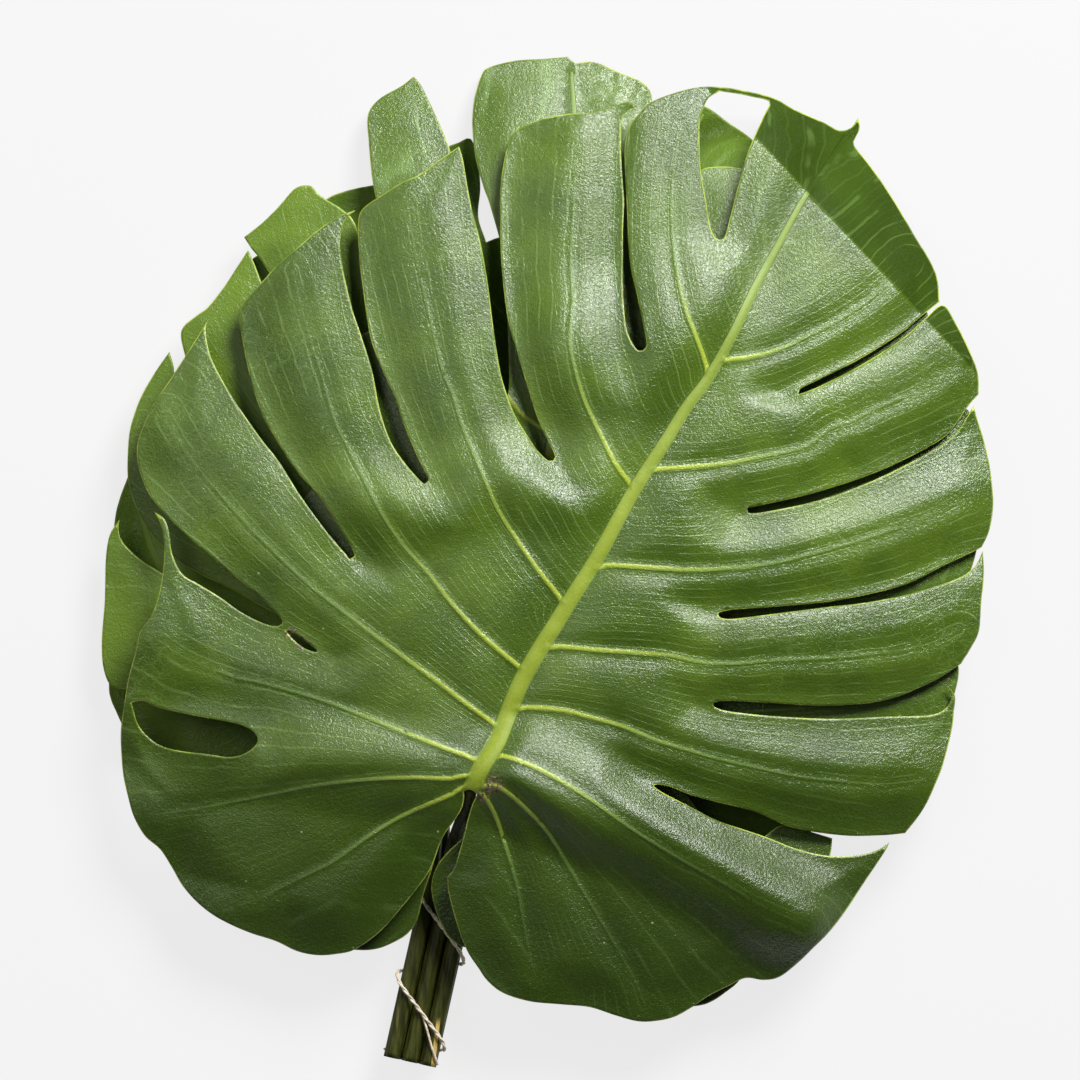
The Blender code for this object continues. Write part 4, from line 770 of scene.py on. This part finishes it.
def add_tube(mesh, line, radii, sides, finish, profile=lambda angle: 1.0):
    """A closed bar along a line of metre points. Its profile gives the share of the radius at each angle."""
    rings = []
    for index, centre in enumerate(line):
        tangent = Vector(line[min(index + 1, len(line) - 1)] - line[max(index - 1, 0)]).normalized()
        side = tangent.cross(Vector((0, 0, 1))).normalized()
        over = side.cross(tangent).normalized()
        ring = []
        for corner in range(sides):
            angle = 2 * math.pi * corner / sides
            offset = (side * math.cos(angle) + over * math.sin(angle)) * radii[index] * profile(angle)
            ring.append(mesh.verts.new(Vector(centre) + offset))
        rings.append(ring)
    for ring, following in zip(rings, rings[1:]):
        for corner in range(sides):
            beside = (corner + 1) % sides
            corners = (ring[beside], ring[corner], following[corner], following[beside])
            mesh.faces.new(corners).material_index = finish
    mesh.faces.new(rings[0]).material_index = finish
    mesh.faces.new(list(reversed(rings[-1]))).material_index = finish


def stalk_line(across, height, bends, top):
    """A stalk's line from the bundle's foot, through its head and the stalk's bends, to the blade."""
    reach = np.array([BUNDLE_HEAD[0] - BUNDLE_FOOT[0], BUNDLE_HEAD[1] - BUNDLE_FOOT[1]])
    side = np.array([-reach[1], reach[0]]) / np.linalg.norm(reach) * across * MM / SQUARE
    foot = np.array(BUNDLE_FOOT) + side
    head = np.array(BUNDLE_HEAD) + side
    path = [(*foot, height), (*((foot + head) / 2), height), (*head, height)] + bends + [top]
    line = smooth_line(path, STALK_STEP)
    return np.array([(*page(x, y), z * MM) for x, y, z in line])


def stalk_profile(angle):
    """A stalk's ribs."""
    return 1 - RIB_DEPTH + RIB_DEPTH * math.cos(STALK_RIBS * angle)


def add_stalk(mesh, line):
    """A stalk along a line, slimmer towards the blade."""
    share = np.clip(np.linspace(TAPER_START, 1.0, len(line)), 0, 1) ** 3
    radii = (STALK_RADIUS + (STALK_TOP_RADIUS - STALK_RADIUS) * share) * MM
    add_tube(mesh, line, radii, STALK_SIDES, ON_STALK, stalk_profile)


def band_route():
    """The band's centre line: a winding that climbs the bundle from its foot to its head."""
    gap = STALK_RADIUS + BAND_CLEARANCE + BAND_RADIUS
    centres = [(-STALK_PITCH, STALK_HIGH), (STALK_PITCH, STALK_HIGH), (STALK_PITCH / 2, STALK_LOW),
               (-STALK_PITCH / 2, STALK_LOW)]
    ring = []
    for index in range(RING_STATIONS):
        angle = math.pi - 2 * math.pi * index / RING_STATIONS
        out = (math.cos(angle), math.sin(angle))
        far = max(centres, key=lambda centre: centre[0] * out[0] + centre[1] * out[1])
        ring.append((far[0] + gap * out[0], far[1] + gap * out[1]))
    ring = np.array(ring + ring[:1])
    lengths = np.concatenate([[0], np.cumsum(np.linalg.norm(np.diff(ring, axis=0), axis=1))])
    turns, heights = zip(*BAND_TURNS)
    line = []
    for turn in np.linspace(turns[0], turns[-1], BAND_STATIONS):
        place = (turn % 1.0) * lengths[-1]
        across = np.interp(place, lengths, ring[:, 0])
        height = np.interp(place, lengths, ring[:, 1])
        y = np.interp(turn, turns, heights)
        share = (BUNDLE_FOOT[1] - y) / (BUNDLE_FOOT[1] - BUNDLE_HEAD[1])
        x = BUNDLE_FOOT[0] + share * (BUNDLE_HEAD[0] - BUNDLE_FOOT[0]) + across * MM / SQUARE
        line.append((*page(x, y + BAND_SLANT * across * MM / SQUARE), height * MM))
    return np.array(line)


def twisted_band(finish):
    """Two strands twisted round the band's line, and the loose strand that leaves them near the cut ends."""
    route = band_route()
    tangents = np.gradient(route, axis=0)
    tangents /= np.linalg.norm(tangents, axis=1)[:, None]
    along = np.concatenate([[0], np.cumsum(np.linalg.norm(np.diff(route, axis=0), axis=1))])
    mesh = bmesh.new()
    strands = []
    for strand in range(2):
        line = []
        for centre, tangent, passed in zip(route, tangents, along):
            side = Vector(tangent).cross(Vector(STRAND_UP)).normalized()
            over = side.cross(Vector(tangent)).normalized()
            angle = 2 * math.pi * passed / (BAND_TWIST * MM) + math.pi * strand
            offset = (side * math.cos(angle) + over * math.sin(angle)) * (BAND_RADIUS - STRAND_RADIUS) * MM
            line.append(centre + np.array(offset))
        strands.append(line)
    strands.append([(*page(x, y), z * MM) for x, y, z in smooth_line(LOOSE_STRAND, LOOSE_STEP)])
    for line in strands:
        add_tube(mesh, np.array(line), [STRAND_RADIUS * MM] * len(line), STRAND_SIDES, 0)
    new_piece("tie", mesh, [finish])


class Wiring:
    """Short words for placing and joining the nodes of one tree."""

    def __init__(self, tree):
        self.tree = tree

    def place(self, kind, sockets=(), **settings):
        """A new node with its settings, and its sockets set or joined."""
        node = self.tree.nodes.new(kind)
        for name, value in settings.items():
            setattr(node, name, value)
        for key, value in dict(sockets).items():
            if isinstance(value, bpy.types.NodeSocket):
                self.tree.links.new(value, node.inputs[key])
            else:
                node.inputs[key].default_value = value
        return node

    def mark(self, name):
        """A value carried by the sheet's points."""
        return self.place("ShaderNodeAttribute", attribute_name=name).outputs["Fac"]

    def sum(self, operation, *values):
        """The result of one step of arithmetic."""
        return self.place("ShaderNodeMath", dict(enumerate(values)), operation=operation).outputs[0]

    def times(self, first, *others):
        """The product of all the values."""
        for other in others:
            first = self.sum("MULTIPLY", first, other)
        return first

    def ease(self, value, low, high, start=0.0, finish=1.0):
        """A smooth step from start to finish as the value goes from low to high."""
        sockets = {"Value": value, "From Min": low, "From Max": high, "To Min": start, "To Max": finish}
        return self.place("ShaderNodeMapRange", sockets, interpolation_type="SMOOTHSTEP").outputs[0]

    def blend(self, share, first, second):
        """A colour between two, nearer to the second as the share rises."""
        return self.place("ShaderNodeMix", {0: share, 6: first, 7: second}, data_type="RGBA").outputs[2]

    def noise(self, vector, name):
        """The clouds of this name."""
        sockets = dict(zip(("Scale", "Detail", "Roughness", "Distortion"), CLOUDS[name]))
        return self.place("ShaderNodeTexNoise", {"Vector": vector, **sockets}).outputs[0]

    def cells(self, vector, scale, feature="DISTANCE_TO_EDGE"):
        """Distance in cells with so many to the metre."""
        node = self.place("ShaderNodeTexVoronoi", {"Vector": vector, "Scale": scale}, feature=feature)
        return node.outputs["Distance"]


def new_group(name, inputs, outputs):
    """An empty node group, its wiring, its incoming sockets and its exit."""
    group = bpy.data.node_groups.new(name, "ShaderNodeTree")
    kinds = {float: "NodeSocketFloat", tuple: "NodeSocketColor"}
    for title, value in inputs.items():
        socket = group.interface.new_socket(title, in_out="INPUT", socket_type=kinds[type(value)])
        socket.default_value = value
    for title, value in outputs.items():
        group.interface.new_socket(title, in_out="OUTPUT", socket_type=kinds[value])
    entry = group.nodes.new("NodeGroupInput")
    return group, Wiring(group), entry.outputs, group.nodes.new("NodeGroupOutput")


def leaf_skin():
    """A blade's colour, roughness and relief: veins, net of fine veins, margin line, grain, blotches, and
    painted shade low on the page and on the folded tip.
    """
    group, w, given, out = new_group("leaf skin", {**SKIN_COLOURS, "Scarred": 0.0},
                                     {"Colour": tuple, "Roughness": float, "Relief": float})
    where = w.place("ShaderNodeTexCoord").outputs["Object"]
    margin_gap, rib_share, rib_gap, rib_place, vein_share, vein_place, course, past_fold = (
        w.mark(name) for name in ("margin_gap", "rib_share", "rib_gap", "rib_place", "vein_share",
                                  "vein_place", "course", "past_fold"))

    # Blotches, wide clouds, and painted shade that darkens the blade towards the bottom of the page
    colour = w.blend(w.ease(w.noise(where, "blotches"), 0.25, 0.8), given["Deep"], given["Light"])
    colour = w.blend(w.ease(w.noise(where, "wide clouds"), 0.35, 0.7, 0.0, 0.35), colour, given["Deep"])
    lower = w.place("ShaderNodeSeparateXYZ", {0: where}).outputs["Y"]
    colour = w.blend(w.ease(lower, 0.0, -0.18, 0.0, 0.9), colour, given["Painted shade"])

    # Fine veins side by side between the side veins, broken and wandering
    wander = w.noise(where, "vein wander")
    fine = w.sum("MULTIPLY_ADD", course, FINE_VEINS, w.times(wander, FINE_WANDER))
    fine_mask = w.ease(w.sum("PINGPONG", fine, 0.5), 0.11, 0.02)
    broken = w.ease(w.noise(where, "broken veins"), 0.38, 0.58, 0.1, 1.0)
    fainter = w.sum("MULTIPLY_ADD", course, FAINT_VEINS, w.times(wander, FAINT_WANDER))
    faint_mask = w.ease(w.sum("PINGPONG", fainter, 0.5), 0.14, 0.0, 0.0, 0.45)
    near_rib = w.ease(rib_gap, 150.0, 10.0, 0.35, 1.0)
    fine_mask = w.sum("MAXIMUM", w.times(fine_mask, broken), w.times(faint_mask, near_rib))
    fine_mask = w.times(fine_mask, w.ease(lower, -0.06, -0.11, 1.0, 0.3))

    # The net between them
    stray = w.place("ShaderNodeTexNoise", {"Vector": where, "Scale": STRAY_SCALE, "Detail": 2.0})
    bent = w.place("ShaderNodeVectorMath", {0: stray.outputs["Color"], 1: (NET_STRAY,) * 3, 2: where},
                   operation="MULTIPLY_ADD")
    net_mask = w.times(w.ease(w.cells(bent.outputs[0], NET_CELLS), 0.07, 0.0),
                       w.ease(rib_gap, 60.0, 300.0, 0.1, 0.65),
                       w.ease(w.noise(where, "net patches"), 0.4, 0.6),
                       w.ease(lower, -0.05, -0.11, 1.0, 0.2))
    faint = w.times(w.sum("MAXIMUM", fine_mask, net_mask), 0.5)
    colour = w.blend(faint, colour, given["Pale"])

    # Side veins and midrib
    side_colour = w.blend(w.ease(vein_place, 0.0, 0.55), given["Vein"], given["Pale"])
    side_mask = w.times(w.ease(vein_share, 0.95, 0.35), w.ease(vein_place, 0.15, 1.0, 1.0, 0.25),
                        w.ease(lower, -0.09, -0.15, 1.0, 0.4))
    colour = w.blend(side_mask, colour, side_colour)
    rib_mask = w.ease(rib_share, 1.0, 0.72)
    rib_streaks = w.noise(where, "midrib streaks")
    rib_colour = w.blend(w.ease(rib_place, 0.3, 1.0, 0.0, 0.7), given["Rib"], given["Pale"])
    rib_colour = w.blend(w.ease(rib_share, 0.2, 1.0, 0.0, 0.55), rib_colour, given["Light"])
    rib_colour = w.blend(w.ease(rib_streaks, 0.3, 0.8, 0.0, 0.2), rib_colour, given["Light"])
    colour = w.blend(rib_mask, colour, rib_colour)

    # Margin line and specks
    margin_mask = w.times(w.ease(margin_gap, 1.5, 0.4),
                          w.ease(w.noise(where, "margin"), 0.38, 0.62, 0.2, 0.95))
    colour = w.blend(margin_mask, colour, given["Margin"])
    speck_mask = w.times(w.ease(w.cells(where, SPECK_CELLS, "F1"), 0.085, 0.03),
                         w.ease(w.noise(where, "speck patches"), 0.56, 0.62, 0.0, 0.7))
    colour = w.blend(speck_mask, colour, SPECK)

    # The folded tip, plainer and darker: painted shade beyond the fold line
    painted_fold_shade = w.blend(w.ease(w.noise(where, "folded tip"), 0.35, 0.7, 0.0, 0.6), given["Painted shade"], given["Deep"])
    painted_fold_shade = w.blend(w.ease(faint, 0.0, 0.5, 0.0, 0.25), painted_fold_shade, given["Pale"])
    painted_fold_shade = w.blend(margin_mask, painted_fold_shade, given["Margin"])
    colour = w.blend(w.ease(past_fold, 0.0, 2.0), colour, painted_fold_shade)

    # Healed scars
    flat = w.place("ShaderNodeVectorMath", {0: where, 1: (1, 1, 0)}, operation="MULTIPLY").outputs[0]
    ragged = w.noise(where, "scar colour")
    torn = w.ease(w.noise(where, "torn scar"), 0.44, 0.56)
    scar_colour = w.blend(w.ease(ragged, 0.4, 0.6), SCAR_DARK, SCAR_LIGHT)
    for place, reach in FRONT_SCARS:
        gap = w.place("ShaderNodeVectorMath", {0: flat, 1: (*page(*place), 0)}, operation="DISTANCE")
        scar = w.times(w.ease(gap.outputs["Value"], reach, 0.3 * reach), torn)
        colour = w.blend(w.ease(scar, 0.1, 0.35, 0.0, given["Scarred"]), colour, scar_colour)

    # Relief in millimetres
    relief = w.times(w.noise(where, "crinkle"), CRINKLE_RELIEF)
    for height, share in [(w.noise(where, "grain"), GRAIN_RELIEF), (w.noise(where, "ripple"), RIPPLE_RELIEF),
                          (fine_mask, FINE_VEIN_RELIEF)]:
        relief = w.sum("MULTIPLY_ADD", height, share, relief)
    relief = w.times(relief, w.ease(w.sum("SUBTRACT", 1.0, rib_mask), 0.0, 1.0, MIDRIB_SHARE, 1.0))
    relief = w.sum("MULTIPLY_ADD", w.noise(where, "fine streaks"), STREAK_RELIEF, relief)

    roughness = w.ease(w.noise(where, "gloss"), 0.3, 0.7, 0.25, 0.34)
    roughness = w.sum("MAXIMUM", roughness, w.ease(rib_mask, 0.0, 1.0, 0.0, 0.55))
    for title, value in {"Colour": colour, "Roughness": roughness, "Relief": relief}.items():
        w.tree.links.new(value, out.inputs[title])
    return group


def new_finish(name):
    """A new material, its wiring and its shader."""
    finish = bpy.data.materials.new(name)
    finish.use_nodes = True
    return finish, Wiring(finish.node_tree), finish.node_tree.nodes["Principled BSDF"]


def leaf_finish(name, skin, gloss, **colours):
    """A blade's finish, from the shared skin with its own colours."""
    finish, w, shader = new_finish(name)
    coat = w.place("ShaderNodeGroup", node_tree=skin)
    for title, value in colours.items():
        coat.inputs[title].default_value = value if isinstance(value, float) else (*value, 1)
    bump = w.place("ShaderNodeBump", {"Height": coat.outputs["Relief"], "Distance": MM, "Strength": 1.0})
    shader.inputs["Specular IOR Level"].default_value = gloss
    w.tree.links.new(coat.outputs["Colour"], shader.inputs["Base Color"])
    w.tree.links.new(coat.outputs["Roughness"], shader.inputs["Roughness"])
    w.tree.links.new(bump.outputs[0], shader.inputs["Normal"])
    return finish


def stalk_finish():
    """Ribbed olive stalks with darker streaks, dry patches and one dry strip."""
    finish, w, shader = new_finish("stalk skin")
    where = w.place("ShaderNodeTexCoord").outputs["Object"]
    along = w.place("ShaderNodeMapping", {"Vector": where, "Scale": (1.0, 0.12, 1.0)}).outputs[0]
    streaks = w.noise(along, "stalk streaks")
    colour = w.blend(w.ease(streaks, 0.3, 0.7), STALK_DARK, STALK_LIGHT)
    dry = w.ease(w.noise(along, "dry patches"), 0.66, 0.76)
    colour = w.blend(w.times(dry, 0.5), colour, DRY_PATCH)
    (left, top), (right, bottom) = (page(*end) for end in DRY_STRIP)
    lean = (right - left) / (bottom - top)
    spot = w.place("ShaderNodeSeparateXYZ", {0: where}).outputs
    aside = w.sum("SUBTRACT", spot["X"], w.sum("MULTIPLY_ADD", spot["Y"], lean, left - lean * top))
    strip = w.ease(w.sum("ABSOLUTE", aside), DRY_STRIP_HALF, 0.6 * DRY_STRIP_HALF)
    strip = w.times(strip, w.ease(spot["Y"], top, top - DRY_STRIP_FADING))
    colour = w.blend(strip, colour, w.blend(streaks, STRIP_DARK, STRIP_LIGHT))
    w.tree.links.new(colour, shader.inputs["Base Color"])
    shader.inputs["Roughness"].default_value = 0.5
    shader.inputs["Specular IOR Level"].default_value = 0.2
    bump = w.place("ShaderNodeBump", {"Height": streaks, "Distance": STALK_RELIEF * MM, "Strength": 0.8})
    w.tree.links.new(bump.outputs[0], shader.inputs["Normal"])
    return finish


def band_finish():
    """Cream rubber, dusty in its twist."""
    finish, w, shader = new_finish("cream rubber")
    where = w.place("ShaderNodeTexCoord").outputs["Object"]
    dust = w.noise(where, "band dust")
    colour = w.blend(w.ease(dust, 0.3, 0.7), BAND_DUSTY, BAND_CREAM)
    w.tree.links.new(colour, shader.inputs["Base Color"])
    shader.inputs["Roughness"].default_value = 0.6
    bump = w.place("ShaderNodeBump", {"Height": dust, "Distance": BAND_RELIEF * MM, "Strength": 0.6})
    w.tree.links.new(bump.outputs[0], shader.inputs["Normal"])
    return finish


def floor_and_light():
    """A plain pale floor, a broad lamp low beyond the page's upper right, a weak lamp from the left, and an
    even surround."""
    mesh = bmesh.new()
    bmesh.ops.create_grid(mesh, x_segments=1, y_segments=1, size=FLOOR_HALF)
    floor = put_in_scene("floor", new_mesh("floor", mesh))
    paint, _, shader = new_finish("pale floor")
    shader.inputs["Base Color"].default_value = (FLOOR_GREY, FLOOR_GREY, FLOOR_GREY, 1)
    shader.inputs["Roughness"].default_value = 0.9
    shader.inputs["Specular IOR Level"].default_value = 0.0
    shader.inputs["Emission Color"].default_value = WHITE
    shader.inputs["Emission Strength"].default_value = FLOOR_GLOW
    floor.data.materials.append(paint)
    for name, place, size, power in LAMPS:
        lamp = bpy.data.lights.new(name, "AREA")
        lamp.shape = "DISK"
        lamp.size = size
        lamp.energy = power
        holder = put_in_scene(name, lamp)
        holder.location = place
        holder.rotation_euler = (-Vector(place)).to_track_quat("-Z", "Y").to_euler()
    world = bpy.context.scene.world or bpy.data.worlds.new("surround")
    bpy.context.scene.world = world
    world.use_nodes = True
    surround = world.node_tree.nodes["Background"]
    surround.inputs["Color"].default_value = WHITE
    surround.inputs["Strength"].default_value = SURROUND
    bpy.context.scene.view_settings.view_transform = "Standard"


def camera():
    """A long lens straight above the page."""
    lens = bpy.data.cameras.new("camera")
    lens.sensor_width = 36.0
    lens.lens = lens.sensor_width * (CAMERA_HEIGHT - FOCUS_HEIGHT) / (PICTURE_SQUARES * SQUARE)
    lens.clip_end = 50.0
    holder = put_in_scene("camera", lens)
    holder.location = (*page(PICTURE_SQUARES / 2, PICTURE_SQUARES / 2), CAMERA_HEIGHT)
    bpy.context.scene.camera = holder


camera()
floor_and_light()
SKIN = leaf_skin()
STALK_SKIN = stalk_finish()

# Each blade's gloss and its own colours
FINISHES = {
    "leaf_1": leaf_finish("front blade", SKIN, 0.65, Scarred=1.0),
    "leaf_2": leaf_finish("second blade", SKIN, 0.65, Deep=(0.060, 0.115, 0.008), Light=(0.125, 0.210, 0.016)),
    "leaf_3": leaf_finish("third blade", SKIN, 0.4, Deep=(0.085, 0.155, 0.008), Light=(0.165, 0.270, 0.015)),
    "leaf_4": leaf_finish("fourth blade", SKIN, 0.2, Deep=(0.060, 0.115, 0.008), Light=(0.125, 0.210, 0.016)),
    "leaf_5": leaf_finish("fifth blade", SKIN, 0.3, Deep=(0.095, 0.170, 0.008), Light=(0.180, 0.290, 0.015))}
FOLDED_TIP = leaf_finish("folded tip", SKIN, 0.06)

# Each blade's drawing, its place in the stack, the fineness of its sheet and how strong its form is
BLADES = {
    "leaf_1": Blade(FRONT_MARGIN, FRONT_HOLES, FRONT_MIDRIB, FRONT_SIDE_VEINS, LEVELS[0], FRONT_SPACING, 1.0,
                    [(line, reach, -rise) for line, reach, rise in FRONT_CRESTS], FRONT_ROLLS, folded=True),
    "leaf_2": Blade(SECOND_MARGIN, [], SECOND_MIDRIB, SECOND_SIDE_VEINS, LEVELS[1], BACK_SPACING, 0.4,
                    SECOND_DROOPS),
    "leaf_3": Blade(THIRD_MARGIN, [], THIRD_MIDRIB, THIRD_SIDE_VEINS, LEVELS[2], BACK_SPACING, 0.3),
    "leaf_4": Blade(FOURTH_MARGIN, [], FOURTH_MIDRIB, FOURTH_SIDE_VEINS, LEVELS[3], BACK_SPACING, 0.3,
                    FOURTH_DROOPS),
    "leaf_5": Blade(FIFTH_MARGIN, [], FIFTH_MIDRIB, FIFTH_SIDE_VEINS, LEVELS[4], BACK_SPACING, 0.2,
                    FIFTH_DROOPS)}

# Each stalk: its place across the bundle, its height there, its bends and where it joins its blade
STALKS = {
    "leaf_1": (0.0, STALK_HIGH, [(445, 892, 14.0), (451, 858, 21.0), (458, 832, 26.0), (467, 808, 37.0)],
               (471, 789)),
    "leaf_2": (STALK_PITCH, STALK_HIGH, [(467, 885, 14.5), (484, 830, 22.0)], (498, 762)),
    "leaf_3": (-STALK_PITCH, STALK_HIGH, [(429, 880, 13.5), (438, 800, 21.0)], (450, 727)),
    "leaf_4": (STALK_PITCH / 2, STALK_LOW, [(470, 860, 7.0), (500, 790, 12.0)], (524, 718)),
    "leaf_5": (-STALK_PITCH / 2, STALK_LOW, [(440, 860, 6.0), (441, 800, 7.0)], (442, 728))}

for name, blade in BLADES.items():
    sheet = bmesh.new()
    add_sheet(sheet, blade)
    across, height, bends, joint = STALKS[name]
    spot = np.array([joint], float)
    under = blade.heights(spot, blade.survey(spot))[1][0]
    add_stalk(sheet, stalk_line(across, height, bends, (*joint, under + JOINT_DEPTH)))
    new_piece(name, sheet, [FINISHES[name], STALK_SKIN] + [FOLDED_TIP] * blade.folded)
twisted_band(band_finish())
